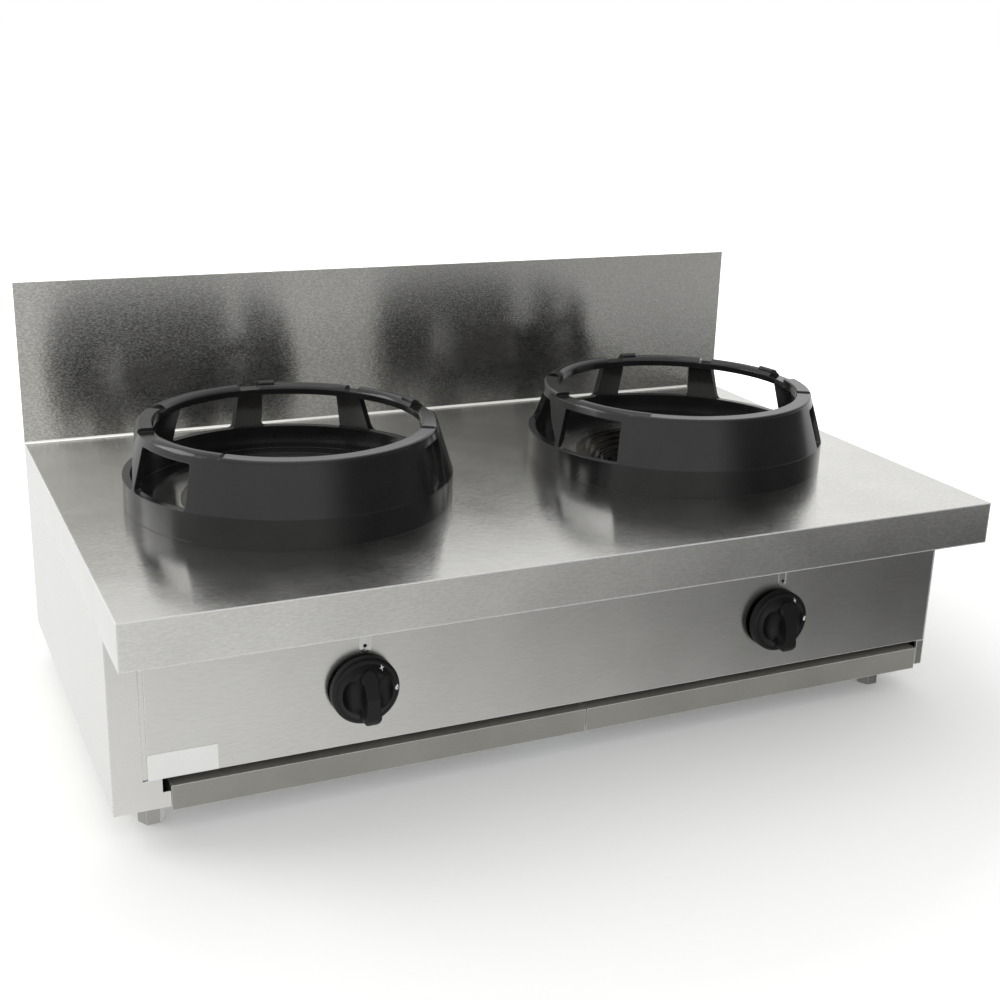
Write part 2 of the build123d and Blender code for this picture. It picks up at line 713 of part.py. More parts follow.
def ring_wall(x):
    """Foot flange, upright band, cone and rim as one turned casting."""
    points = (
        (FLANGE_IN_R, 0),
        (RING_R, 0),
        (RING_R, BAND_H),
        (cone_r(NOTCH_H), NOTCH_H),
        (RIM_IN_R, NOTCH_H),
        (RIM_IN_R, RIM_UNDER_H),
        (cone_r(RIM_UNDER_H) - CONE_WALL, RIM_UNDER_H),
        (RING_R - BAND_WALL, BAND_H),
        (RING_R - BAND_WALL, FLANGE_T),
        (FLANGE_IN_R, FLANGE_T),
    )
    return ring_turned(points, x)


def ring_window(x, sill_left, sill_right, head_left, head_right):
    """Prism through the wall, looking along the middle of one opening."""
    middle = (sill_left + sill_right + head_left + head_right) / 4
    sill = [cone_r(BAND_H) * tan(radians(a - middle)) for a in (sill_left, sill_right)]
    head = [cone_r(RIM_UNDER_H) * tan(radians(a - middle)) for a in (head_left, head_right)]
    outline = Polygon((sill[0], BAND_H), (sill[1], BAND_H), (head[1], RIM_UNDER_H),
                      (head[0], RIM_UNDER_H), align=None)
    outline = fillet(outline.vertices(), WINDOW_CORNER_R)
    turn = radians(middle)
    outward = Vector(cos(turn), sin(turn), 0)
    across = Vector(-sin(turn), cos(turn), 0)
    near = Vector(x, RING_Y, TOP_Z) + outward * RIM_IN_R / 2
    face = Plane(origin=near, x_dir=across, z_dir=outward) * outline
    return extrude(face, amount=RING_R)


def post_set_back(x):
    """What comes off the posts, with a sloping shoulder down to the band."""
    shoulder = BAND_H + SHOULDER_H
    points = (
        (RING_R, BAND_H),
        (cone_r(shoulder) - POST_RECESS, shoulder),
        (cone_r(RIM_UNDER_H) - POST_RECESS, RIM_UNDER_H),
        (RING_R, RIM_UNDER_H),
    )
    start, end = POSTS_SET_BACK
    return ring_turned(points, x, start, arc_of(start, end))


def rim_piece(profile, x, start, end):
    """Raised stretch of the rim, swept about the ring's axis."""
    solid = Rot(0, 0, start) * revolve(profile, Axis.Z, arc_of(start, end))
    return Pos(x, RING_Y, TOP_Z) * solid


def rail_profile():
    """Low D: flat foot on the rim, arched top."""
    outer = cone_r(NOTCH_H)
    arch = ThreePointArc((outer, 0, NOTCH_H), ((outer + RIM_IN_R) / 2, 0, RAIL_H), (RIM_IN_R, 0, NOTCH_H))
    return make_face([Line((RIM_IN_R, 0, NOTCH_H), (outer, 0, NOTCH_H)), arch])


def flat_profile(inner, outer, top):
    """Flat-topped rim section, well rounded outside and lightly inside."""
    edge = (top - NOTCH_H) * RIM_ROUNDING
    waist = edge * RIM_ROUNDING / 2
    points = (
        (inner, NOTCH_H),
        (outer, NOTCH_H),
        (outer, top - edge),
        (outer - waist, top - waist),
        (outer - edge, top),
        (inner + waist, top),
        (inner, top - waist),
    )
    return make_face(Plane.XZ * Polyline(*points, close=True))


def wok_ring(name):
    """Cast ring with a plain front wall, open posts and a raised, notched rim."""
    x = RING_CENTRES[name]
    outer = cone_r(NOTCH_H)
    ring = ring_wall(x)
    for window in WINDOWS:
        ring -= ring_window(x, *window)
    ring -= post_set_back(x)
    ring += rim_piece(flat_profile(RIM_IN_R, outer, RIM_H), x, *RIM_FRONT)
    for start, end in PADS:
        ring += rim_piece(flat_profile(RIM_IN_R, outer, PAD_H), x, start, end)
    for start, end in RAILS:
        ring += rim_piece(rail_profile(), x, start, end)
    for start, end in LUGS:
        ring += rim_piece(flat_profile(RIM_IN_R + LUG_INSET, outer - LUG_INSET, LUG_H), x, start, end)
    return ring


def burner_well(name):
    """Stepped pressed well that hangs in the worktop hole by its flange."""
    rim = WELL_R + WELL_T + WELL_FLANGE
    upper = [(rim, WELL_T)]
    lower = [(rim, 0)]
    for step in range(WELL_STEPS):
        radius = WELL_R - step * WELL_STEP_W
        here = WELL_T - step * WELL_STEP_H
        below = here - WELL_STEP_H
        upper += [(radius, here), (radius, below)]
        lower += [(radius + WELL_T, here - WELL_T), (radius + WELL_T, below - WELL_T)]
    inner = WELL_R - WELL_STEPS * WELL_STEP_W
    upper.append((inner, below))
    lower.append((inner, below - WELL_T))
    return turned(upper + lower[::-1], RING_CENTRES[name], RING_Y, TOP_Z)


# ---------------------------------------------------------------- burners
def burner_crown(name):
    """Stepped crown with three rings of ports; it drops into the bowl and lifts out."""
    x = RING_CENTRES[name]
    spigot_r = BOWL_R - BOWL_WALL - HOLE_FIT
    cavity_r = spigot_r - CROWN_WALL
    points = [(cavity_r, -CROWN_SPIGOT_H), (spigot_r, -CROWN_SPIGOT_H), (spigot_r, 0), (CROWN_R, 0),
              (CROWN_R, CROWN_SKIRT_H)]
    top = CROWN_SKIRT_H
    for step in range(CROWN_STEPS):
        radius = CROWN_R - CROWN_RIM_W - step * CROWN_STEP_W
        points += [(radius, top), (radius, top + CROWN_STEP_H)]
        top += CROWN_STEP_H
    roof = CROWN_SKIRT_H - CROWN_STEP_H / 2
    points += [(0, top), (0, roof), (cavity_r, roof)]
    crown = turned(points, x, RING_Y, CROWN_Z)
    for step in range(CROWN_STEPS):
        ring_r = CROWN_R - 2 * CROWN_RIM_W - step * CROWN_STEP_W
        port_count = PORTS_PER_STEP * (CROWN_STEPS - step)
        for i in range(port_count):
            turn = radians(360 / port_count * i)
            port_x = x + ring_r * cos(turn)
            port_y = RING_Y + ring_r * sin(turn)
            crown -= rod_z(port_x, port_y, PORT_R, CROWN_Z, CROWN_Z + top)
    return crown


def air_holes(x, y0, y1):
    """Four round air passages about the axis of the mixing tube."""
    holes = []
    for quarter in range(4):
        turn = radians(45 + 90 * quarter)
        holes.append(rod_y(x + AIR_RING_R * cos(turn), KNOB_Z + AIR_RING_R * sin(turn), AIR_HOLE_R, y0, y1))
    return holes


def burner_body(name):
    """Cast bowl on a riser, with a forward mixing tube and two ears for the rails."""
    x = RING_CENTRES[name]
    riser_z = KNOB_Z - RISER_FOOT
    ear_end = RAIL_Y + EAR_BEYOND
    ear_z = BOWL_Z + EAR_T
    body = rod_z(x, RING_Y, BOWL_R, BOWL_Z, CROWN_Z)
    body += rod_z(x, RING_Y, RISER_R, riser_z, BOWL_Z)
    body += rod_y(x, KNOB_Z, TUBE_R, SPIDER_Y, RING_Y)
    body += block(x - EAR_W / 2, x + EAR_W / 2, RING_Y - ear_end, RING_Y + ear_end, BOWL_Z, ear_z)
    body -= rod_z(x, RING_Y, BOWL_R - BOWL_WALL, BOWL_Z + BOWL_WALL, CROWN_Z)
    body -= rod_z(x, RING_Y, RISER_R - BOWL_WALL, riser_z + BOWL_WALL, CROWN_Z)
    body -= rod_y(x, KNOB_Z, TUBE_BORE_R, SPIDER_Y + SPIDER_T, RING_Y)
    body -= rod_y(x, KNOB_Z, INJECTOR_SHANK_R + RUN_FIT, SPIDER_Y, SPIDER_Y + SPIDER_T)
    for hole in air_holes(x, SPIDER_Y, SPIDER_Y + SPIDER_T):
        body -= hole
    for end in (-1, 1):
        body -= rod_z(x, RING_Y + end * RAIL_Y, BOLT_R + HOLE_FIT, BOWL_Z, ear_z)
    return body


def air_shutter(name):
    """Disc that turns on the injector and covers the air passages."""
    x = RING_CENTRES[name]
    y1 = SHUTTER_Y + SHUTTER_T
    disc = rod_y(x, KNOB_Z, SHUTTER_R, SHUTTER_Y, y1)
    disc += block(x - SHUTTER_TAB / 2, x + SHUTTER_TAB / 2, SHUTTER_Y, y1,
                  KNOB_Z + SHUTTER_R - SHUTTER_T, KNOB_Z + SHUTTER_R + SHUTTER_TAB)
    disc -= rod_y(x, KNOB_Z, INJECTOR_SHANK_R + RUN_FIT, SHUTTER_Y, y1)
    for hole in air_holes(x, SHUTTER_Y, y1):
        disc -= hole
    return disc


def injector(name):
    """Brass holder with its nozzle inside the mixing tube."""
    x = RING_CENTRES[name]
    nozzle_y = SPIDER_Y + SPIDER_T + INJECTOR_PAST_SPIDER
    hex_y0 = INJECTOR_Y - INJECTOR_HEX_L
    body = hex_y(x, KNOB_Z, INJECTOR_FLATS, hex_y0, INJECTOR_Y)
    body += rod_y(x, KNOB_Z, INJECTOR_SHANK_R, INJECTOR_Y, nozzle_y)
    body += rod_y(x, KNOB_Z, NOZZLE_R, nozzle_y, nozzle_y + NOZZLE_L)
    body -= rod_y(x, KNOB_Z, PIPE_R + RUN_FIT, hex_y0, hex_y0 + PIPE_ENTRY)
    body -= rod_y(x, KNOB_Z, PIPE_BORE_R, hex_y0, nozzle_y)
    body -= rod_y(x, KNOB_Z, ORIFICE_R, hex_y0, nozzle_y + NOZZLE_L)
    return body


def cross_rail(end):
    """Angle rail from side panel to side panel; end is -1 in front and 1 behind."""
    half = SIDE_X - SHEET_T
    outer = RING_Y + end * (RAIL_Y + RAIL_LEG / 2)
    inner = outer - end * RAIL_LEG
    rail = block(-half, half, outer, inner, BOWL_Z - RAIL_T, BOWL_Z)
    rail += block(-half, half, outer, outer - end * RAIL_T, BOWL_Z - RAIL_DROP, BOWL_Z)
    for x in RING_CENTRES.values():
        rail -= rod_z(x, RING_Y + end * RAIL_Y, BOLT_R + HOLE_FIT, BOWL_Z - RAIL_T, BOWL_Z)
    return rail


def burner_bolt_places():
    return [(x, RING_Y + end * RAIL_Y) for x in RING_CENTRES.values() for end in (-1, 1)]


def burner_bolts():
    bolts = []
    for x, y in burner_bolt_places():
        head_z = BOWL_Z + EAR_T
        shank = rod_z(x, y, BOLT_R, BOWL_Z - RAIL_T - BOLT_NUT_H - BOLT_PAST_NUT, head_z)
        bolts.append(shank + hex_z(x, y, BOLT_HEAD_FLATS, head_z, head_z + BOLT_HEAD_H))
    return group(bolts)


def burner_nuts():
    nuts = []
    for x, y in burner_bolt_places():
        nut_z = BOWL_Z - RAIL_T
        nut = hex_z(x, y, BOLT_HEAD_FLATS, nut_z - BOLT_NUT_H, nut_z)
        nuts.append(nut - rod_z(x, y, BOLT_R + RUN_FIT, nut_z - BOLT_NUT_H, nut_z))
    return group(nuts)


# ---------------------------------------------------------------- knobs and valves
def spindle_section(radius):
    """Round spindle with one flat on top, standing along Y from the origin."""
    flat_z = SPINDLE_R - SPINDLE_FLAT + (radius - SPINDLE_R)
    shaft = rod_y(0, 0, radius, 0, SPINDLE_IN_KNOB)
    return shaft - block(-radius, radius, 0, SPINDLE_IN_KNOB, flat_z, radius)


def grip_outline():
    """Side view of the grip bar: long slope at the top, round nose at the bottom."""
    dome = -SKIRT_T
    crown = dome - GRIP_PROUD
    nose = GRIP_NOSE_R
    root = dome + GRIP_ROOT
    corner = nose * (1 - cos(radians(45)))
    return make_face([
        Polyline((0, root, -GRIP_DOWN), (0, root, GRIP_UP), (0, dome - DOME_T, GRIP_UP),
                 (0, crown, 0), (0, crown, nose - GRIP_DOWN)),
        ThreePointArc((0, crown, nose - GRIP_DOWN), (0, crown + corner, corner - GRIP_DOWN),
                      (0, crown + nose, -GRIP_DOWN)),
        Line((0, crown + nose, -GRIP_DOWN), (0, root, -GRIP_DOWN)),
    ])


def knob_grip():
    """Grip bar with rounded ends, its free edges eased."""
    grip = Pos(-GRIP_W / 2, 0, 0) * extrude(grip_outline(), amount=GRIP_W, dir=(1, 0, 0))
    middle = Pos(0, 0, (GRIP_UP - GRIP_DOWN) / 2) * Rot(90, 0, 0)
    plan = middle * SlotOverall(GRIP_UP + GRIP_DOWN, GRIP_W, 90)
    grip &= extrude(plan, amount=2 * (SKIRT_T + GRIP_PROUD), both=True)
    free_edges = grip.edges().filter_by(lambda edge: edge.center().Y < -SKIRT_T - ROOT_DEPTH)
    return fillet(free_edges, GRIP_EDGE_R)


def knob_scoop(side):
    """Finger hollow beside the grip: a fat wheel with a round rim, turned about an X axis."""
    hub_r = SCOOP_R - SCOOP_SIDE_R
    profile = make_face([
        Polyline((-SCOOP_SIDE_R, hub_r), (-SCOOP_SIDE_R, 0), (SCOOP_SIDE_R, 0), (SCOOP_SIDE_R, hub_r)),
        ThreePointArc((SCOOP_SIDE_R, hub_r), (0, SCOOP_R), (-SCOOP_SIDE_R, hub_r)),
    ])
    x = side * (GRIP_W / 2 - SCOOP_BITE + SCOOP_SIDE_R)
    return Pos(x, SCOOP_FLOOR - SKIRT_T - SCOOP_R, 0) * revolve(profile, Axis.X, 360)


def knob(name):
    """Moulded knob: round skirt, low dome, and an upright grip bar with a hollow each side."""
    skirt = rod_y(0, 0, KNOB_R, -SKIRT_T, 0)
    skirt = fillet(skirt.edges().group_by(Axis.Y)[0], SKIRT_T / 3)
    dome = Pos(0, -SKIRT_T, 0) * Rot(90, 0, 0) * Cone(DOME_R, DOME_TOP_R, DOME_T, align=(
        Align.CENTER, Align.CENTER, Align.MIN))
    body = skirt + fillet(dome.edges().group_by(Axis.Y)[0], DOME_T / 2) + knob_grip()
    for side in (-1, 1):
        body -= knob_scoop(side)
    hollow = rod_y(0, 0, KNOB_R - KNOB_SHELL, -SKIRT_T + KNOB_SHELL, 0)
    body -= hollow - rod_y(0, 0, HUB_R, -SKIRT_T, 0)
    body -= Pos(0, -SPINDLE_IN_KNOB, 0) * spindle_section(SPINDLE_R + RUN_FIT)
    return Pos(KNOB_CENTRES[name], KNOB_BACK, KNOB_Z) * body


def spindle(name):
    """Valve spindle with a flat for the knob and a collar inside the valve."""
    x = KNOB_CENTRES[name]
    round_end = VALVE_END - SPINDLE_SHORT
    shaft = Pos(x, KNOB_BACK - SPINDLE_IN_KNOB + SEAT_GAP, KNOB_Z) * spindle_section(SPINDLE_R)
    shaft += rod_y(x, KNOB_Z, SPINDLE_R, KNOB_BACK, round_end)
    return shaft + rod_y(x, KNOB_Z, COLLAR_R, COLLAR_Y, COLLAR_Y + COLLAR_T)


def valve_washer(name):
    x = KNOB_CENTRES[name]
    disc = rod_y(x, KNOB_Z, WASHER_R, WASHER_Y, SPRING_Y)
    return disc - rod_y(x, KNOB_Z, SPINDLE_R + RUN_FIT, WASHER_Y, SPRING_Y)


def valve_spring(name):
    """Return spring's envelope between the washer and the end of its chamber."""
    x = KNOB_CENTRES[name]
    outer = WASHER_R - HOLE_FIT
    coil = rod_y(x, KNOB_Z, outer, SPRING_Y, CHAMBER_END)
    return coil - rod_y(x, KNOB_Z, outer - SPRING_WALL, SPRING_Y, CHAMBER_END)


def saddle(x, z0, z1):
    """Half of the clamp round the manifold, drilled for two screws."""
    half = block(x - CLAMP_HALF_W, x + CLAMP_HALF_W, MANIFOLD_Y - CLAMP_HALF_D,
                 MANIFOLD_Y + CLAMP_HALF_D, z0, z1)
    half -= rod_x(MANIFOLD_Y, MANIFOLD_Z, MANIFOLD_R, x - CLAMP_HALF_W, x + CLAMP_HALF_W)
    for end in (-1, 1):
        half -= rod_z(x, MANIFOLD_Y + end * CLAMP_SCREW_Y, CLAMP_SCREW_R + RUN_FIT, z0, z1)
    return half


def gas_valve(name):
    """Valve body on its manifold saddle, with outlet nut, pilot boss and safety boss."""
    x = KNOB_CENTRES[name]
    saddle_top = MANIFOLD_Z + CLAMP_SPLIT / 2 + CLAMP_H
    boss_z = KNOB_Z + VALVE_R + BOSS_H
    body = rod_y(x, KNOB_Z, VALVE_R, VALVE_Y, VALVE_END)
    body += hex_y(x, KNOB_Z, VALVE_NUT_FLATS, VALVE_END, VALVE_END + VALVE_NUT_L)
    body += rod_z(x, MANIFOLD_Y, CLAMP_HALF_W, saddle_top - ROOT_DEPTH, KNOB_Z)
    for boss_x, boss_y in (pilot_boss(name), lead_boss(name)):
        body += rod_z(boss_x, boss_y, BOSS_R, KNOB_Z, boss_z)
    body -= rod_y(x, KNOB_Z, SPINDLE_R + RUN_FIT, VALVE_Y, VALVE_END - VALVE_BORE_SHORT)
    body -= rod_y(x, KNOB_Z, WASHER_R + HOLE_FIT, CHAMBER_Y, CHAMBER_END)
    body -= rod_y(x, KNOB_Z, PIPE_R + RUN_FIT, VALVE_END + VALVE_NUT_L - PIPE_ENTRY,
                  VALVE_END + VALVE_NUT_L)
    return body + saddle(x, MANIFOLD_Z + CLAMP_SPLIT / 2, saddle_top)


def valve_clamps():
    """Lower halves of the two manifold clamps."""
    clamps = []
    for x in KNOB_CENTRES.values():
        clamps.append(saddle(x, MANIFOLD_Z - CLAMP_SPLIT / 2 - CLAMP_H, MANIFOLD_Z - CLAMP_SPLIT / 2))
    return group(clamps)


def valve_clamp_screws():
    screws = []
    clamp_z = MANIFOLD_Z - CLAMP_SPLIT / 2 - CLAMP_H
    for x in KNOB_CENTRES.values():
        for end in (-1, 1):
            y = MANIFOLD_Y + end * CLAMP_SCREW_Y
            shank = rod_z(x, y, CLAMP_SCREW_R, clamp_z, MANIFOLD_Z + CLAMP_H)
            screws.append(shank + rod_z(x, y, CLAMP_HEAD_R, clamp_z - CLAMP_HEAD_H, clamp_z))
    return group(screws)


# ---------------------------------------------------------------- gas train
def gas_manifold():
    """Supply pipe behind the control panel, turned back along the right side."""
    end_y = REAR_Y - INLET_FLANGE_T - INLET_SOCKET_L / 2
    points = ((MANIFOLD_LEFT_X, MANIFOLD_Y, MANIFOLD_Z), (MANIFOLD_RIGHT_X, MANIFOLD_Y, MANIFOLD_Z),
              (MANIFOLD_RIGHT_X, end_y, MANIFOLD_Z))
    return pipe(points, MANIFOLD_R, MANIFOLD_BEND_R, MANIFOLD_BORE_R)


def manifold_plug():
    x = MANIFOLD_LEFT_X
    plug = hex_x(MANIFOLD_Y, MANIFOLD_Z, PLUG_FLATS, x - PLUG_L, x)
    return plug + rod_x(MANIFOLD_Y, MANIFOLD_Z, MANIFOLD_BORE_R - RUN_FIT, x, x + PLUG_L)


def manifold_hangers():
    """Two flat hangers from the front rail down to the manifold."""
    hangers = []
    rail_face = RING_Y - RAIL_Y - RAIL_LEG / 2
    arm_z = BOWL_Z - RAIL_DROP
    eye_r = MANIFOLD_R + HANGER_RIM
    for x in (-HANGER_X, HANGER_X):
        x0, x1 = x - HANGER_T / 2, x + HANGER_T / 2
        plate = block(x0, x1, MANIFOLD_Y - eye_r, rail_face, arm_z, arm_z + HANGER_ARM_H)
        plate += block(x0, x1, MANIFOLD_Y - eye_r, MANIFOLD_Y + eye_r, MANIFOLD_Z, arm_z + HANGER_ARM_H)
        plate += rod_x(MANIFOLD_Y, MANIFOLD_Z, eye_r, x0, x1)
        hangers.append(plate - rod_x(MANIFOLD_Y, MANIFOLD_Z, MANIFOLD_R + HOLE_FIT / 2, x0, x1))
    return group(hangers)


def inlet_fitting():
    """Inlet shouldered inside the rear panel: neck for the lock nut, then the male thread."""
    x, z = MANIFOLD_RIGHT_X, MANIFOLD_Z
    end_y = INLET_THREAD_Y + INLET_L
    flange_y = REAR_Y - INLET_FLANGE_T
    socket_y = flange_y - INLET_SOCKET_L
    fitting = rod_y(x, z, INLET_SOCKET_R, socket_y, flange_y)
    fitting += rod_y(x, z, INLET_FLANGE_R, flange_y, REAR_Y)
    fitting += rod_y(x, z, INLET_NECK_R, REAR_Y, INLET_THREAD_Y)
    fitting += rod_y(x, z, INLET_R, INLET_THREAD_Y, end_y)
    fitting -= rod_y(x, z, MANIFOLD_R + RUN_FIT, socket_y, socket_y + INLET_SOCKET_L / 2)
    return fitting - rod_y(x, z, MANIFOLD_BORE_R, socket_y, end_y)


def inlet_lock_nut():
    y0 = REAR_Y + SHEET_T
    nut = hex_y(MANIFOLD_RIGHT_X, MANIFOLD_Z, INLET_NUT_FLATS, y0, y0 + INLET_NUT_H)
    return nut - rod_y(MANIFOLD_RIGHT_X, MANIFOLD_Z, INLET_NECK_R + RUN_FIT, y0, y0 + INLET_NUT_H)


def feed_pipe(name):
    """Gas pipe from the valve outlet across to the injector."""
    start_y = VALVE_END + VALVE_NUT_L - PIPE_ENTRY
    end_y = INJECTOR_Y - INJECTOR_HEX_L + PIPE_ENTRY
    third = (end_y - start_y) / 3
    knob_x, ring_x = KNOB_CENTRES[name], RING_CENTRES[name]
    points = ((knob_x, start_y, KNOB_Z), (knob_x, start_y + third, KNOB_Z),
              (ring_x, end_y - third, KNOB_Z), (ring_x, end_y, KNOB_Z))
    return pipe(points, PIPE_R, PIPE_BEND_R, PIPE_BORE_R)


def pilot_boss(name):
    return (KNOB_CENTRES[name] - BOSS_SPREAD, MANIFOLD_Y)


def lead_boss(name):
    return (KNOB_CENTRES[name] + BOSS_SPREAD, MANIFOLD_Y + 2 * BOSS_R)


def pilot_place(name):
    return (RING_CENTRES[name] + PILOT_DX, RING_Y + PILOT_DY)


def probe_place(name):
    return (RING_CENTRES[name] + PROBE_DX, RING_Y + PROBE_DY)


def pilot_burner(name):
    """Pilot on a small plate that stands on the front rail."""
    x, y = pilot_place(name)
    probe_x, probe_y = probe_place(name)
    plate_z = BOWL_Z + PILOT_PLATE_T
    tip_z = TOP_Z - PILOT_BELOW_TOP
    rail_front = RING_Y - RAIL_Y - RAIL_LEG / 2
    body = block(x - PILOT_PLATE_EDGE, probe_x + PILOT_PLATE_EDGE, rail_front, probe_y + PROBE_COLLAR_R,
                 BOWL_Z, plate_z)
    body += rod_z(x, y, PILOT_R, BOWL_Z - PILOT_TAIL, tip_z)
    body -= rod_z(x, y, PILOT_HOOD_R, tip_z - 2 * PILOT_HOOD_R, tip_z)
    body -= rod_z(probe_x, probe_y, PROBE_R + RUN_FIT, BOWL_Z, plate_z)
    return body


def pilot_pipe(name):
    """Thin pipe from the valve's pilot boss up to the pilot burner."""
    boss_x, boss_y = pilot_boss(name)
    x, y = pilot_place(name)
    start_z = KNOB_Z + VALVE_R + BOSS_H
    level_z = start_z + PILOT_PIPE_RISE
    points = ((boss_x, boss_y, start_z), (boss_x, boss_y, level_z), (x, y, level_z),
              (x, y, BOWL_Z - PILOT_TAIL))
    return pipe(points, PILOT_PIPE_R, SMALL_BEND_R)


def thermocouple(name):
    """Probe beside the pilot with its lead down to the valve's safety boss."""
    boss_x, boss_y = lead_boss(name)
    x, y = probe_place(name)
    plate_z = BOWL_Z + PILOT_PLATE_T
    start_z = KNOB_Z + VALVE_R + BOSS_H
    level_z = start_z + LEAD_RISE
    points = ((boss_x, boss_y, start_z), (boss_x, boss_y, level_z), (x, y, level_z), (x, y, BOWL_Z))
    probe = rod_z(x, y, PROBE_R, BOWL_Z, TOP_Z - PILOT_BELOW_TOP - PILOT_R)
    probe += rod_z(x, y, PROBE_COLLAR_R, plate_z, plate_z + PROBE_COLLAR_H)
    return probe + pipe(points, LEAD_R, LEAD_BEND_R)


# ---------------------------------------------------------------- the assembly
def assembly():
    """Every node of the range, by name."""
    nodes = {
        "worktop": worktop(),
        "splashback": splashback(),
        "left_side_panel": left_side_panel(),
        "right_side_panel": right_side_panel(),
        "rear_panel": rear_panel(),
        "rear_panel_screws": rear_panel_screws(),
        "control_panel": control_panel(),
        "control_panel_studs": control_panel_studs(),
        "label_plate": label_plate(),
        "sight_frames": group(sight_frame(x) for x in SIGHT_CENTRES.values()),
        "base_frame": base_frame(),
        "foot_sockets": foot_sockets(),
        "foot_lock_nuts": foot_lock_nuts(),
        "tray_runner_left": tray_runner_left(),
        "tray_runner_centre": tray_runner_centre(),
        "tray_runner_right": tray_runner_right(),
        "front_cross_rail": cross_rail(-1),
        "rear_cross_rail": cross_rail(1),
        "burner_bolts": burner_bolts(),
        "burner_nuts": burner_nuts(),
        "injectors": group(injector(name) for name in SIDES),
        "pilot_burners": group(pilot_burner(name) for name in SIDES),
        "thermocouples": group(thermocouple(name) for name in SIDES),
        "gas_manifold": gas_manifold(),
        "manifold_plug": manifold_plug(),
        "manifold_hangers": manifold_hangers(),
        "valve_clamps": valve_clamps(),
        "valve_clamp_screws": valve_clamp_screws(),
        "inlet_fitting": inlet_fitting(),
        "inlet_lock_nut": inlet_lock_nut(),
    }
    for name, side in SIDES.items():
        front, back = foot_places(side)
        nodes[f"foot_front_{name}"] = foot(*front)
        nodes[f"foot_rear_{name}"] = foot(*back)
        nodes[f"drip_tray_{name}"] = drip_tray(name)
        nodes[f"wok_ring_{name}"] = wok_ring(name)
        nodes[f"burner_well_{name}"] = burner_well(name)
        nodes[f"burner_crown_{name}"] = burner_crown(name)
        nodes[f"burner_body_{name}"] = burner_body(name)
        nodes[f"air_shutter_{name}"] = air_shutter(name)
        nodes[f"knob_{name}"] = knob(name)
        nodes[f"spindle_{name}"] = spindle(name)
        nodes[f"valve_washer_{name}"] = valve_washer(name)
        nodes[f"valve_spring_{name}"] = valve_spring(name)
        nodes[f"gas_valve_{name}"] = gas_valve(name)
        nodes[f"feed_pipe_{name}"] = feed_pipe(name)
        nodes[f"pilot_pipe_{name}"] = pilot_pipe(name)
    return nodes


for node_name, shape in assembly().items():
    export_step(shape, f"parts/{node_name}.step")
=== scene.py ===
from math import cos, pi, radians, sin

import bmesh
import bpy
from mathutils import Matrix, Vector
from mathutils.bvhtree import BVHTree


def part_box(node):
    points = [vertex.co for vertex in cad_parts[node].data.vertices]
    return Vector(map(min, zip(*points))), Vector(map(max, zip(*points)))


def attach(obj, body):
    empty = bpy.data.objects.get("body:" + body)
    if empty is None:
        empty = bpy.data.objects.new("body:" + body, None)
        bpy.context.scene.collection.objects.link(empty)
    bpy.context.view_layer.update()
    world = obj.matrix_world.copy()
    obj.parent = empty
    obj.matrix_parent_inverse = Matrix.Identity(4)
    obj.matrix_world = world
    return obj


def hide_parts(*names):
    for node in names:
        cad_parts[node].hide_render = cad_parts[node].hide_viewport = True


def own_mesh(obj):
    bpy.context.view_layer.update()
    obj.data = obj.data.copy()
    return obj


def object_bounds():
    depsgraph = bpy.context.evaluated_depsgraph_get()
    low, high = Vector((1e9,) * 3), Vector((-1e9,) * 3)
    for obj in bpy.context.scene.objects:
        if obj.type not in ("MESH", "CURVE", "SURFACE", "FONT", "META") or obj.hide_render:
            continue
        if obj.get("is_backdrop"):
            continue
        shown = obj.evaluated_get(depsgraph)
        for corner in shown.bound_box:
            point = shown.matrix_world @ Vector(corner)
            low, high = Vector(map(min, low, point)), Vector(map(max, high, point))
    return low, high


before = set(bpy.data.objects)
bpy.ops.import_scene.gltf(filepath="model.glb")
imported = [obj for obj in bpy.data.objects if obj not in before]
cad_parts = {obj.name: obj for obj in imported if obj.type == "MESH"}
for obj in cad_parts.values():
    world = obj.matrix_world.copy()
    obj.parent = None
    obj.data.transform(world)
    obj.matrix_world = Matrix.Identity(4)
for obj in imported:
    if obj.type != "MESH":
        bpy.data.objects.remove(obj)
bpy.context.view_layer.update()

# ------------------------------------------------------------------ camera
# The photographer stood to the left of the range and looked a little down on it.
# Heading, dip and roll are those of the picture; the lens is a short telephoto.
CAMERA_AT = Vector((-0.694305, -1.503295, 0.791130))
HEADING, DIP, ROLL = radians(25.1533), radians(18.4311), radians(1.7801)
SENSOR_MM, LENS_MM = 36.0, 52.08
NEAREST = 0.02
ahead = Vector((sin(HEADING) * cos(DIP), cos(HEADING) * cos(DIP), -sin(DIP)))
level = Vector((cos(HEADING), -sin(HEADING), 0.0))
upright = level.cross(ahead)
right = level * cos(ROLL) + upright * sin(ROLL)
above = upright * cos(ROLL) - level * sin(ROLL)
axes = Matrix((right, above, -ahead)).transposed().to_4x4()
camera_data = bpy.data.cameras.new("photo_camera")
camera_data.sensor_width = SENSOR_MM
camera_data.lens = LENS_MM
camera_data.clip_start = NEAREST
camera = bpy.data.objects.new("photo_camera", camera_data)
camera.matrix_world = Matrix.Translation(CAMERA_AT) @ axes
bpy.context.scene.collection.objects.link(camera)
bpy.context.scene.camera = camera
bpy.context.scene.view_settings.view_transform = "Standard"


# ------------------------------------------------------------------ studio
# White surroundings and a pale floor that keeps a soft shadow, lit by a large soft box behind
# the left end and a weak one overhead. Reflections see both graded: light at the left and
# behind, dark at the front right, so that the steel has light and dark areas.
def linear(hex_colour):
    """Scene colour of an sRGB hex value."""
    channels = [int(hex_colour[i:i + 2], 16) / 255.0 for i in (1, 3, 5)]
    return [c / 12.92 if c <= 0.04045 else ((c + 0.055) / 1.055) ** 2.4 for c in channels] + [1.0]


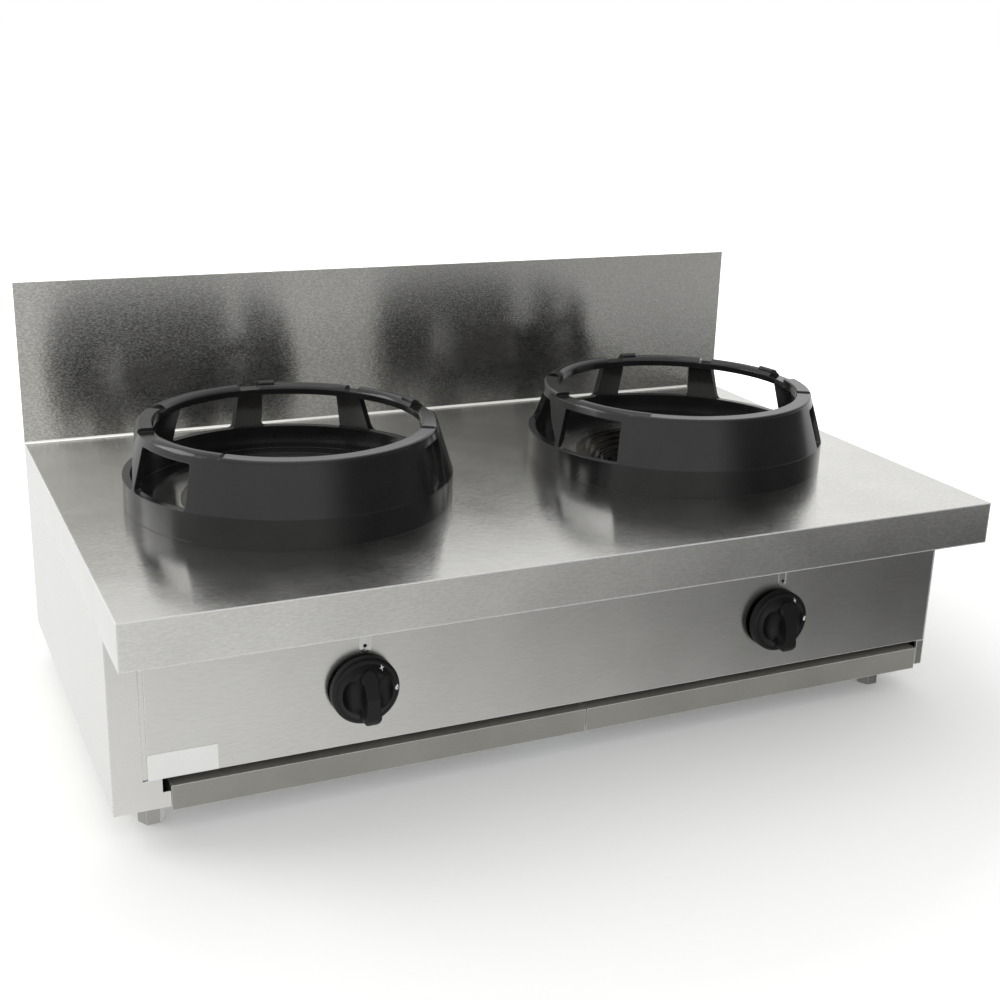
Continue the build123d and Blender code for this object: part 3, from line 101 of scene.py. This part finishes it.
def add(tree, kind, settings=None, values=None, links=None):
    """Add a shader node, set its properties and sockets, and link its inputs."""
    node = tree.nodes.new(kind)
    for name, value in (settings or {}).items():
        setattr(node, name, value)
    for name, value in (values or {}).items():
        node.inputs[name].default_value = value
    for name, source in (links or {}).items():
        tree.links.new(source, node.inputs[name])
    return node


WHITE = linear("#ffffff")
ROOM_LIGHT = 0.88
BACKDROP_LIGHT = 1.0
TOWARDS_DARK = (0.86, -0.51, 0.0)
world = bpy.data.worlds.new("studio")
world.use_nodes = True
sky = world.node_tree
sky.nodes.clear()
rays = add(sky, "ShaderNodeLightPath")
seen = add(sky, "ShaderNodeMath", {"operation": "MAXIMUM"},
           links={0: rays.outputs["Is Camera Ray"], 1: rays.outputs["Is Transmission Ray"]})
towards = add(sky, "ShaderNodeTexCoord")
across = add(sky, "ShaderNodeVectorMath", {"operation": "DOT_PRODUCT"}, {1: TOWARDS_DARK},
             {0: towards.outputs["Generated"]})
falloff = add(sky, "ShaderNodeMapRange", {"interpolation_type": "SMOOTHSTEP"},
              {"From Min": 0.48, "From Max": 0.88, "To Min": 1.1, "To Max": 0.12},
              {"Value": across.outputs["Value"]})
room = add(sky, "ShaderNodeBackground", values={"Color": WHITE, "Strength": ROOM_LIGHT})
walls = add(sky, "ShaderNodeBackground", values={"Color": WHITE}, links={"Strength": falloff.outputs[0]})
backdrop = add(sky, "ShaderNodeBackground", values={"Color": WHITE, "Strength": BACKDROP_LIGHT})
mirrored = add(sky, "ShaderNodeMixShader",
               links={0: rays.outputs["Is Glossy Ray"], 1: room.outputs[0], 2: walls.outputs[0]})
shown = add(sky, "ShaderNodeMixShader",
            links={0: seen.outputs[0], 1: mirrored.outputs[0], 2: backdrop.outputs[0]})
add(sky, "ShaderNodeOutputWorld", links={"Surface": shown.outputs[0]})
bpy.context.scene.world = world

FLOOR_HALF = 60.0
floor_mesh = bpy.data.meshes.new("floor")
sheet = bmesh.new()
bmesh.ops.create_grid(sheet, x_segments=1, y_segments=1, size=FLOOR_HALF)
sheet.to_mesh(floor_mesh)
sheet.free()
floor = bpy.data.objects.new("floor", floor_mesh)
bpy.context.scene.collection.objects.link(floor)

# The camera sees the floor glow white away from the range. Reflections see a dark pool at the
# front right, and less light far in front.
RANGE_MIDDLE = (0.0, 0.0, 0.0)
POOL_MIDDLE = (0.95, -0.55, 0.0)
floor_paint = bpy.data.materials.new("pale_floor")
floor_paint.use_nodes = True
ground = floor_paint.node_tree
ground.nodes.clear()
rays = add(ground, "ShaderNodeLightPath")
spot = add(ground, "ShaderNodeTexCoord")
away = add(ground, "ShaderNodeVectorMath", {"operation": "DISTANCE"}, {1: RANGE_MIDDLE},
           {0: spot.outputs["Object"]})
lift = add(ground, "ShaderNodeMapRange",
           values={"From Min": 0.62, "From Max": 1.7, "To Min": 0.14, "To Max": 1.0},
           links={"Value": away.outputs["Value"]})
from_pool = add(ground, "ShaderNodeVectorMath", {"operation": "DISTANCE"}, {1: POOL_MIDDLE},
                {0: spot.outputs["Object"]})
pool = add(ground, "ShaderNodeMapRange", {"interpolation_type": "SMOOTHSTEP"},
           {"From Min": 0.1, "From Max": 1.7, "To Min": 0.1, "To Max": 1.05},
           {"Value": from_pool.outputs["Value"]})
where = add(ground, "ShaderNodeSeparateXYZ", links={0: spot.outputs["Object"]})
front = add(ground, "ShaderNodeMapRange",
            values={"From Min": -1.1, "From Max": -2.4, "To Min": 1.0, "To Max": 0.45},
            links={"Value": where.outputs["Y"]})
dimmed = add(ground, "ShaderNodeMath", {"operation": "MULTIPLY"},
             links={0: pool.outputs[0], 1: front.outputs[0]})
matt = add(ground, "ShaderNodeBsdfDiffuse", values={"Color": linear("#f0f0ee")})
glow = add(ground, "ShaderNodeEmission", values={"Color": WHITE}, links={"Strength": lift.outputs[0]})
sheen = add(ground, "ShaderNodeEmission", values={"Color": WHITE}, links={"Strength": dimmed.outputs[0]})
lit = add(ground, "ShaderNodeAddShader", links={0: matt.outputs[0], 1: glow.outputs[0]})
plain = add(ground, "ShaderNodeMixShader",
            links={0: rays.outputs["Is Camera Ray"], 1: matt.outputs[0], 2: lit.outputs[0]})
finished = add(ground, "ShaderNodeMixShader",
               links={0: rays.outputs["Is Glossy Ray"], 1: plain.outputs[0], 2: sheen.outputs[0]})
add(ground, "ShaderNodeOutputMaterial", links={"Surface": finished.outputs[0]})
floor_mesh.materials.append(floor_paint)
floor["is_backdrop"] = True

LAMP_AIM = Vector((0.0, 0.0, 0.2))


def soft_box(name, place, width, height, power):
    """Rectangular lamp that faces the range."""
    lamp = bpy.data.lights.new(name, "AREA")
    lamp.shape = "RECTANGLE"
    lamp.size = width
    lamp.size_y = height
    lamp.energy = power
    stand = bpy.data.objects.new(name, lamp)
    stand.location = place
    stand.rotation_euler = (LAMP_AIM - Vector(place)).to_track_quat("-Z", "Y").to_euler()
    bpy.context.scene.collection.objects.link(stand)


soft_box("left_box", place=(-2.2, 1.0, 1.7), width=1.4, height=1.4, power=24.0)
soft_box("top_box", place=(-0.3, 0.2, 2.6), width=1.6, height=1.2, power=5.0)


# ------------------------------------------------------------------ folded sheets
# Worktop, splashback, side, rear and control panels: taken to be stainless steel sheet, brushed
# along its length and folded on a press. Screws hold the rear panel, and weld studs under the
# worktop hold the control panel.
MM_PER_M = 1000.0
# Most of a noise lies between these two values.
NOISE_LOW, NOISE_HIGH = 0.35, 0.65
# Cosines of the lean at which an edge's painted highlight starts and is full, and its metallic share.
HIGHLIGHT_STARTS, HIGHLIGHT_FULL = 0.99, 0.93
HIGHLIGHT_METALLIC = 0.1


def finish(name, shades, gloss, grain_mm, relief_mm, metallic=1.0, cloud_mm=80.0, speckle=0.3,
           edge_mm=0.3, highlight_shade=None):
    """A worked surface: two shades, least and most roughness, the size of its grain along
    X, Y and Z, the depth of its relief, and the width and shade of the highlight painted on its edges.
    Speckle is the share of the grain in the shade; the rest is a wide, faint cloud."""
    material = bpy.data.materials.new(name)
    material.use_nodes = True
    tree = material.node_tree
    tree.nodes.clear()
    place = add(tree, "ShaderNodeTexCoord")
    sized = add(tree, "ShaderNodeMapping", values={"Scale": [MM_PER_M / size for size in grain_mm]},
                links={"Vector": place.outputs["Object"]})
    grain = add(tree, "ShaderNodeTexNoise", values={"Scale": 1.0, "Detail": 2.0},
                links={"Vector": sized.outputs[0]})
    cloud = add(tree, "ShaderNodeTexNoise", values={"Scale": MM_PER_M / cloud_mm, "Detail": 1.0},
                links={"Vector": place.outputs["Object"]})
    blend = add(tree, "ShaderNodeMix", {"data_type": "FLOAT"}, {0: speckle},
                {2: cloud.outputs["Fac"], 3: grain.outputs["Fac"]})
    tone = add(tree, "ShaderNodeMapRange", values={"From Min": NOISE_LOW, "From Max": NOISE_HIGH},
               links={"Value": blend.outputs[0]})
    colour = add(tree, "ShaderNodeMix", {"data_type": "RGBA"},
                 {6: linear(shades[0]), 7: linear(shades[1])}, {0: tone.outputs[0]})
    rough = add(tree, "ShaderNodeMapRange",
                values={"From Min": NOISE_LOW, "From Max": NOISE_HIGH, "To Min": gloss[0],
                        "To Max": gloss[1]},
                links={"Value": blend.outputs[0]})
    rounded = add(tree, "ShaderNodeBevel", values={"Radius": edge_mm / MM_PER_M})
    relief = add(tree, "ShaderNodeBump", values={"Strength": 1.0, "Distance": relief_mm / MM_PER_M},
                 links={"Height": grain.outputs["Fac"], "Normal": rounded.outputs[0]})
    flat = add(tree, "ShaderNodeNewGeometry")
    lean = add(tree, "ShaderNodeVectorMath", {"operation": "DOT_PRODUCT"},
               links={0: rounded.outputs[0], 1: flat.outputs["Normal"]})
    # Painted highlight: near an edge the colour turns to a pale shade and the metal share drops,
    # standing in for light caught on the rounded edge.
    highlight_mask = add(tree, "ShaderNodeMapRange", values={"From Min": HIGHLIGHT_STARTS, "From Max": HIGHLIGHT_FULL},
               links={"Value": lean.outputs["Value"]})
    highlight_metallic = add(tree, "ShaderNodeMapRange",
               values={"To Min": metallic, "To Max": HIGHLIGHT_METALLIC * metallic},
               links={"Value": highlight_mask.outputs[0]})
    highlighted_colour = add(tree, "ShaderNodeMix", {"data_type": "RGBA"}, {7: linear(highlight_shade or shades[1])},
                {0: highlight_mask.outputs[0], 6: colour.outputs[2]})
    shader = add(tree, "ShaderNodeBsdfPrincipled",
                 links={"Base Color": highlighted_colour.outputs[2], "Roughness": rough.outputs[0],
                        "Metallic": highlight_metallic.outputs[0], "Normal": relief.outputs[0]})
    add(tree, "ShaderNodeOutputMaterial", links={"Surface": shader.outputs[0]})
    return material


def surface(material):
    """The shader of a finish."""
    return material.node_tree.nodes["Principled BSDF"]


def brush(material, across_marks, pull):
    """Draw reflections out across the brush marks, as a brushed sheet does."""
    tree = material.node_tree
    surface(material).inputs["Anisotropic"].default_value = pull
    tangent = add(tree, "ShaderNodeCombineXYZ", values=dict(zip("XYZ", across_marks)))
    tree.links.new(tangent.outputs[0], surface(material).inputs["Tangent"])


def dress(material, *names):
    """Give CAD nodes one material."""
    for name in names:
        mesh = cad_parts[name].data
        mesh.materials.clear()
        mesh.materials.append(material)


# Brush marks run along the range's length, or from front to rear on its sides. They are drawn 1.2
# to 1.8 mm wide and up to 9 mm long, because real brush marks are too fine to show. The grains of
# the later finishes are drawn at 0.7 to 6 mm for the same reason.
ACROSS_LENGTH = (0.0, 0.7071, 0.7071)
ACROSS_DEPTH = (0.0, 0.0, 1.0)
# White of the highlight painted along edges.
HIGHLIGHT_WHITE = "#ffffff"

# Worktop: a lively silver grain with glossy, drawn-out reflections of the rings.
top_steel = finish("brushed_stainless_top", shades=("#c5c4c0", "#d5d4d0"), gloss=(0.16, 0.21),
                   grain_mm=(5.0, 1.8, 1.2), relief_mm=0.07, speckle=0.6, edge_mm=2.6,
                   highlight_shade=HIGHLIGHT_WHITE)
brush(top_steel, ACROSS_LENGTH, pull=0.75)
dress(top_steel, "worktop")

# The grain is weaker on the upright lip, which looks more even than the top.
LIP_RELIEF = 0.4
tree = top_steel.node_tree
shape = add(tree, "ShaderNodeNewGeometry")
facing = add(tree, "ShaderNodeSeparateXYZ", links={0: shape.outputs["Normal"]})
weaker = add(tree, "ShaderNodeMapRange", values={"To Min": LIP_RELIEF},
             links={"Value": facing.outputs["Z"]})
relief = surface(top_steel).inputs["Normal"].links[0].from_node
tree.links.new(weaker.outputs[0], relief.inputs["Strength"])

# Splashback: the most speckled sheet, with soft dark reflections of the rings.
back_steel = finish("brushed_stainless_back", shades=("#bab9b5", "#d9d8d4"), gloss=(0.15, 0.2),
                    grain_mm=(3.6, 1.6, 1.6), relief_mm=0.075, speckle=0.92, edge_mm=1.0)
brush(back_steel, ACROSS_LENGTH, pull=0.9)
dress(back_steel, "splashback")

# Panels under the worktop: finer and shallower marks, an even satin grey.
front_steel = finish("brushed_stainless_front", shades=("#c6c5c1", "#d0cfcb"), gloss=(0.2, 0.25),
                     grain_mm=(9.0, 1.2, 1.2), relief_mm=0.012, speckle=0.5, edge_mm=1.6,
                     highlight_shade=HIGHLIGHT_WHITE)
brush(front_steel, ACROSS_LENGTH, pull=0.8)
dress(front_steel, "control_panel", "rear_panel")

# Side panels: the palest and smoothest sheet.
side_steel = finish("brushed_stainless_side", shades=("#cdccc8", "#d4d3cf"), gloss=(0.22, 0.28),
                    grain_mm=(9.0, 9.0, 1.2), relief_mm=0.006, edge_mm=2.0, highlight_shade=HIGHLIGHT_WHITE)
brush(side_steel, ACROSS_DEPTH, pull=0.8)
dress(side_steel, "left_side_panel", "right_side_panel")


def piece(name, shape, material, body):
    """Finished mesh piece that rides on a body."""
    bmesh.ops.recalc_face_normals(shape, faces=shape.faces)
    mesh = bpy.data.meshes.new(name)
    shape.to_mesh(mesh)
    shape.free()
    mesh.materials.append(material)
    made = bpy.data.objects.new(name, mesh)
    bpy.context.scene.collection.objects.link(made)
    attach(made, body)
    return made


def pulled_verts(extrusion):
    """The vertices that an extrusion made."""
    return [part for part in extrusion["geom"] if isinstance(part, bmesh.types.BMVert)]


# Seam along the foot of the splashback: taken to be welded from the front and ground to a small
# hollow, paler and smoother than the sheets beside it.
SEAM_LEG = 0.0026
SEAM_HOLLOW = 0.45
SEAM_END = 0.0004
top_low, top_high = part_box("worktop")
seam_l = top_high.x - top_low.x - 2 * SEAM_END
corner = Vector((top_low.x + SEAM_END, top_high.y, top_high.z))
section = [corner, corner - Vector((0.0, SEAM_LEG, 0.0)),
           corner + Vector((0.0, -SEAM_LEG, SEAM_LEG)) * SEAM_HOLLOW,
           corner + Vector((0.0, 0.0, SEAM_LEG))]
seam = bmesh.new()
profile = seam.faces.new([seam.verts.new(point) for point in section])
pulled = bmesh.ops.extrude_face_region(seam, geom=[profile])
bmesh.ops.translate(seam, vec=(seam_l, 0.0, 0.0), verts=pulled_verts(pulled))
ground_steel = finish("ground_weld", shades=("#d4d3cf", "#e0dfdb"), gloss=(0.2, 0.3),
                      grain_mm=(1.0, 1.0, 1.0), relief_mm=0.02)
piece("splashback_seam", seam, ground_steel, "range")

# ------------------------------------------------------------------ drip trays
# Two folded trays of thinner sheet, taken to be stainless steel with its mill finish: warmer
# and duller than the brushed panels. Each slides on its runners and pulls out by its ledge.
SIDES = ("left", "right")


def pair(name):
    """The names of a node at the left and at the right."""
    return [f"{name}_{side}" for side in SIDES]


mill_steel = finish("mill_finish_stainless", shades=("#94928c", "#9e9c96"), gloss=(0.5, 0.58),
                    grain_mm=(6.0, 1.5, 1.5), relief_mm=0.01, metallic=0.25, edge_mm=1.2,
                    highlight_shade=HIGHLIGHT_WHITE)
dress(mill_steel, *pair("drip_tray"))

# ------------------------------------------------------------------ wok rings
# Two iron castings, one pattern for both, taken to be coated in black enamel. They lie on the
# worktop by their own weight. The enamel gives a smooth deep black with small sharp lights.
ENAMEL_IOR = 1.43
enamel = finish("black_enamel", shades=("#191919", "#1f1f1f"), gloss=(0.12, 0.17),
                grain_mm=(5.0, 5.0, 5.0), relief_mm=0.008, metallic=0.0, cloud_mm=45.0, edge_mm=1.6)
surface(enamel).inputs["IOR"].default_value = ENAMEL_IOR
dress(enamel, *pair("wok_ring"))

# ------------------------------------------------------------------ burner wells
# Stepped pressings, taken to be stainless steel, hung in the worktop's holes by their flanges.
# Their dark grey-brown shades are painted shade for the dark inside of the rings, and the bright line on
# each step is the painted edge highlight.
pressed = finish("pressed_stainless", shades=("#5f5b54", "#7c7973"), gloss=(0.16, 0.28),
                 grain_mm=(1.8, 1.8, 5.0), relief_mm=0.05, cloud_mm=38.0)
dress(pressed, *pair("burner_well"))

# ------------------------------------------------------------------ burners
# Bowls and crowns of grey iron, bare and dull from the sand mould; the crowns have drilled ports
# and just drop in. The air shutters are stamped from mild steel. None of them shows in the
# picture, so these finishes are the usual ones.
iron = finish("sand_cast_iron", shades=("#2b2a28", "#3d3a36"), gloss=(0.52, 0.72),
              grain_mm=(1.6, 1.6, 1.6), relief_mm=0.25, metallic=0.35, cloud_mm=22.0, speckle=0.5)
dress(iron, *pair("burner_body"), *pair("burner_crown"))
stamped = finish("stamped_steel", shades=("#8f8e8a", "#a8a7a3"), gloss=(0.34, 0.48),
                 grain_mm=(1.2, 1.2, 1.2), relief_mm=0.02)
dress(stamped, *pair("air_shutter"))

# ------------------------------------------------------------------ bottom frame and rails
# Frame of flat bars welded edge to edge, angle rails, tray runners and hangers: taken to be
# hot-dip galvanised steel, a dull blue-grey patchwork of flat crystals about 9 mm across.
CRYSTAL_MM = 9.0
ZINC_COAT = ("#989ea1", "#b6bbbd")
galvanised = finish("galvanised_steel", shades=ZINC_COAT, gloss=(0.38, 0.52),
                    grain_mm=(3.0, 3.0, 3.0), relief_mm=0.01)
tree = galvanised.node_tree
place = add(tree, "ShaderNodeTexCoord")
spangle = add(tree, "ShaderNodeTexVoronoi", values={"Scale": MM_PER_M / CRYSTAL_MM},
              links={"Vector": place.outputs["Object"]})
crystal = add(tree, "ShaderNodeMix", {"data_type": "RGBA"},
              {6: linear(ZINC_COAT[0]), 7: linear(ZINC_COAT[1])}, {0: spangle.outputs["Color"]})
tree.links.new(crystal.outputs[2], surface(galvanised).inputs["Base Color"])
dress(galvanised, "base_frame", "front_cross_rail", "rear_cross_rail", "tray_runner_left",
      "tray_runner_centre", "tray_runner_right", "manifold_hangers")

# ------------------------------------------------------------------ feet and fasteners
# Levelling feet turned from hexagon bar, screwed into bushes of the bottom frame; bushes, nuts,
# bolts, screws and clamps of zinc-plated steel. The feet glint with a near-white highlight painted along
# their edges; the zinc is a paler soft grey.
turned_steel = finish("turned_steel", shades=("#8a8986", "#a3a29f"), gloss=(0.16, 0.28),
                      grain_mm=(0.9, 0.9, 0.9), relief_mm=0.02, edge_mm=0.8, highlight_shade="#f4f4f2")
dress(turned_steel, *pair("foot_front"), *pair("foot_rear"))
zinc = finish("zinc_plated_steel", shades=("#adafae", "#c6c8c6"), gloss=(0.26, 0.38),
              grain_mm=(1.0, 1.0, 1.0), relief_mm=0.02)
dress(zinc, "rear_panel_screws", "control_panel_studs", "foot_sockets", "foot_lock_nuts",
      "burner_bolts", "burner_nuts", "valve_clamps", "valve_clamp_screws", *pair("valve_washer"),
      *pair("spindle"))

# ------------------------------------------------------------------ gas train
# Supply pipe painted matt dark grey, warm yellow brass for valves, injectors, pilots and inlet,
# and bright drawn pipes to the burners and pilots. From behind, only the inlet shows.
paint = finish("pipe_paint", shades=("#2a2b2d", "#333437"), gloss=(0.36, 0.46),
               grain_mm=(2.5, 2.5, 2.5), relief_mm=0.03, metallic=0.0)
dress(paint, "gas_manifold")
brass = finish("machined_brass", shades=("#c49a50", "#d9b36a"), gloss=(0.2, 0.34),
               grain_mm=(1.0, 1.0, 1.0), relief_mm=0.02)
dress(brass, *pair("gas_valve"), "injectors", "pilot_burners", "inlet_lock_nut", "manifold_plug")
drawn = finish("drawn_pipe", shades=("#bebebc", "#d4d4d2"), gloss=(0.2, 0.32),
               grain_mm=(1.0, 1.0, 1.0), relief_mm=0.01)
dress(drawn, *pair("feed_pipe"), *pair("pilot_pipe"), "thermocouples")

# Inlet: a brass nipple on the supply pipe's end, with a flange inside the rear panel. The ridges
# of its cut pipe thread are drawn as rings, one every 1.8 mm, each leaning a little to its end.
THREAD_PITCH, THREAD_L = 0.001814, 0.020
THREAD_CREST, THREAD_ROOT = 0.01048, 0.0093
RIDGES = 10
CREST_LEAN = 0.0003
END_CHAMFER = 0.0004
NECK_R, BORE_R = 0.012, 0.0078
FLANGE_R, FLANGE_T = 0.017, 0.003
SOCKET_R, SOCKET_L = 0.014, 0.020
NIPPLE_SIDES = 48
SAME_PLACE = 0.000001
REARWARDS = (0.0, 1.0, 0.0)
inlet_low, inlet_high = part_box("inlet_fitting")
inlet_x = (inlet_low.x + inlet_high.x) / 2
inlet_z = (inlet_low.z + inlet_high.z) / 2
panel_y = inlet_low.y + SOCKET_L
thread_y = inlet_high.y - THREAD_L
outline = [(BORE_R, inlet_low.y), (SOCKET_R, inlet_low.y), (SOCKET_R, panel_y - FLANGE_T),
           (FLANGE_R, panel_y - FLANGE_T), (FLANGE_R, panel_y), (NECK_R, panel_y),
           (NECK_R, thread_y), (THREAD_ROOT, thread_y)]
for turn in range(RIDGES):
    ridge = thread_y + (turn + 0.5) * THREAD_PITCH
    outline += [(THREAD_CREST, ridge + CREST_LEAN), (THREAD_ROOT, ridge + THREAD_PITCH / 2)]
outline += [(THREAD_ROOT, inlet_high.y - END_CHAMFER), (THREAD_ROOT - END_CHAMFER, inlet_high.y),
            (BORE_R, inlet_high.y)]
nipple = bmesh.new()
rim = [nipple.verts.new((inlet_x + radius, along, inlet_z)) for radius, along in outline]
rim_edges = [nipple.edges.new((rim[i - 1], rim[i])) for i in range(len(rim))]
bmesh.ops.spin(nipple, geom=rim + rim_edges, cent=(inlet_x, 0.0, inlet_z), axis=REARWARDS,
               angle=2 * pi, steps=NIPPLE_SIDES, use_merge=True)
bmesh.ops.remove_doubles(nipple, verts=nipple.verts, dist=SAME_PLACE)
threaded = piece("threaded_inlet", nipple, brass, "range")
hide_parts("inlet_fitting")

# ------------------------------------------------------------------ knobs
# Taken to be moulded in black heat-proof plastic, dull and nearly without lights, and pushed on
# the spindles. The spark and flame marks on the rim are printed in plain white ink.
PLASTIC_IOR = 1.35
phenolic = finish("satin_phenolic", shades=("#121212", "#171717"), gloss=(0.42, 0.5),
                  grain_mm=(0.9, 0.9, 0.9), relief_mm=0.008, metallic=0.0, edge_mm=0.7)
surface(phenolic).inputs["IOR"].default_value = PLASTIC_IOR
dress(phenolic, *pair("knob"))
mark_ink = finish("white_marking_ink", shades=("#eeeeec", "#f6f6f4"), gloss=(0.4, 0.5),
                  grain_mm=(0.7, 0.7, 0.7), relief_mm=0.004, metallic=0.0)
INK_T = 0.00012
MARK_R = 0.0028
MARK_SIDES = 16
IN_FRONT = 0.005


def print_mark(name, side, clock, out, reshape):
    """Small printed mark laid on the knob's face, at a clock angle in degrees and a distance
    out from the knob's middle."""
    knob = f"knob_{side}"
    low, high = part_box(knob)
    middle = (low + high) / 2
    angle = radians(clock)
    centre = Vector((middle.x + out * sin(angle), low.y - IN_FRONT, middle.z + out * cos(angle)))
    mark = bmesh.new()
    bmesh.ops.create_circle(mark, cap_ends=True, segments=MARK_SIDES, radius=MARK_R)
    bmesh.ops.rotate(mark, matrix=Matrix.Rotation(pi / 2, 3, "X"), verts=mark.verts)
    reshape(mark)
    bmesh.ops.subdivide_edges(mark, edges=mark.edges, cuts=1)
    bmesh.ops.triangulate(mark, faces=mark.faces)
    bmesh.ops.subdivide_edges(mark, edges=mark.edges, cuts=1, use_grid_fill=True)
    bmesh.ops.translate(mark, vec=centre, verts=mark.verts)
    face = bmesh.new()
    face.from_mesh(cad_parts[knob].data)
    skin = BVHTree.FromBMesh(face)
    face.free()
    for vert in mark.verts:
        hit = skin.ray_cast(vert.co, REARWARDS)[0]
        vert.co.y = hit.y - INK_T / 2
    raised = bmesh.ops.extrude_face_region(mark, geom=mark.faces[:])
    bmesh.ops.translate(mark, vec=(0.0, INK_T, 0.0), verts=pulled_verts(raised))
    piece(name, mark, mark_ink, f"knob_and_spindle_{side}")


SPARK_POINT, SPARK_WAIST = 1.05, 1.45
FLAME_WIDTH, FLAME_TAPER = 0.72, 0.5
FLAME_LEAN, FLAME_TIP = 0.0006, 0.25


def spark(mark):
    """Four-pointed star: a disc drawn in between its points."""
    for vert in mark.verts:
        between = abs(vert.co.x * vert.co.z) / (vert.co.length ** 2)
        vert.co *= SPARK_POINT - SPARK_WAIST * between


def flame(mark):
    """Drop with its tip drawn up and a little to one side."""
    for vert in mark.verts:
        rise = max(0.0, vert.co.z / MARK_R)
        vert.co.x = vert.co.x * (FLAME_WIDTH - FLAME_TAPER * rise) + FLAME_LEAN * rise
        vert.co.z *= 1.0 + FLAME_TIP * rise


for side in SIDES:
    print_mark(f"spark_mark_{side}", side, clock=31.0, out=0.0298, reshape=spark)
    print_mark(f"flame_mark_{side}", side, clock=90.0, out=0.0325, reshape=flame)

# ------------------------------------------------------------------ return springs
# Behind each panel hole a coil of zinc-plated spring wire pushes the knob back out. It rests on
# the valve; the real spring shortens by the knob's 3 mm of travel, but this coil keeps one length.
WIRE_R = 0.0005
WIRE_SIDES = 10
TURNS, STEPS_A_TURN = 6, 32
steps = TURNS * STEPS_A_TURN
for side in SIDES:
    low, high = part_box(f"valve_spring_{side}")
    middle = (low + high) / 2
    coil_r = (high.x - low.x) / 2 - WIRE_R
    coil_l = high.y - low.y - 2 * WIRE_R
    coil = bmesh.new()
    bmesh.ops.create_circle(coil, cap_ends=True, segments=WIRE_SIDES, radius=WIRE_R)
    bmesh.ops.translate(coil, vec=(middle.x + coil_r, low.y + WIRE_R, middle.z), verts=coil.verts)
    bmesh.ops.spin(coil, geom=coil.verts[:] + coil.edges[:] + coil.faces[:],
                   cent=(middle.x, 0.0, middle.z), axis=REARWARDS,
                   dvec=(0.0, coil_l / steps, 0.0), angle=TURNS * 2 * pi, steps=steps)
    spring = piece(f"coil_spring_{side}", coil, zinc, "range")
    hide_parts(f"valve_spring_{side}")
    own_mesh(spring)

# ------------------------------------------------------------------ label and sight frames
# A blank label at the control panel's corner, taken to be white film, and two bright pressed
# frames pushed into the sight holes. The film is smooth and plain, the frames nearly mirror.
film = finish("white_film", shades=("#f0f0ee", "#f6f6f5"), gloss=(0.28, 0.36),
              grain_mm=(3.0, 3.0, 3.0), relief_mm=0.004, metallic=0.0)
dress(film, "label_plate")
bright = finish("bright_pressing", shades=("#cacac8", "#dededc"), gloss=(0.1, 0.2),
                grain_mm=(1.0, 1.0, 1.0), relief_mm=0.01)
dress(bright, "sight_frames")

low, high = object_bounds()
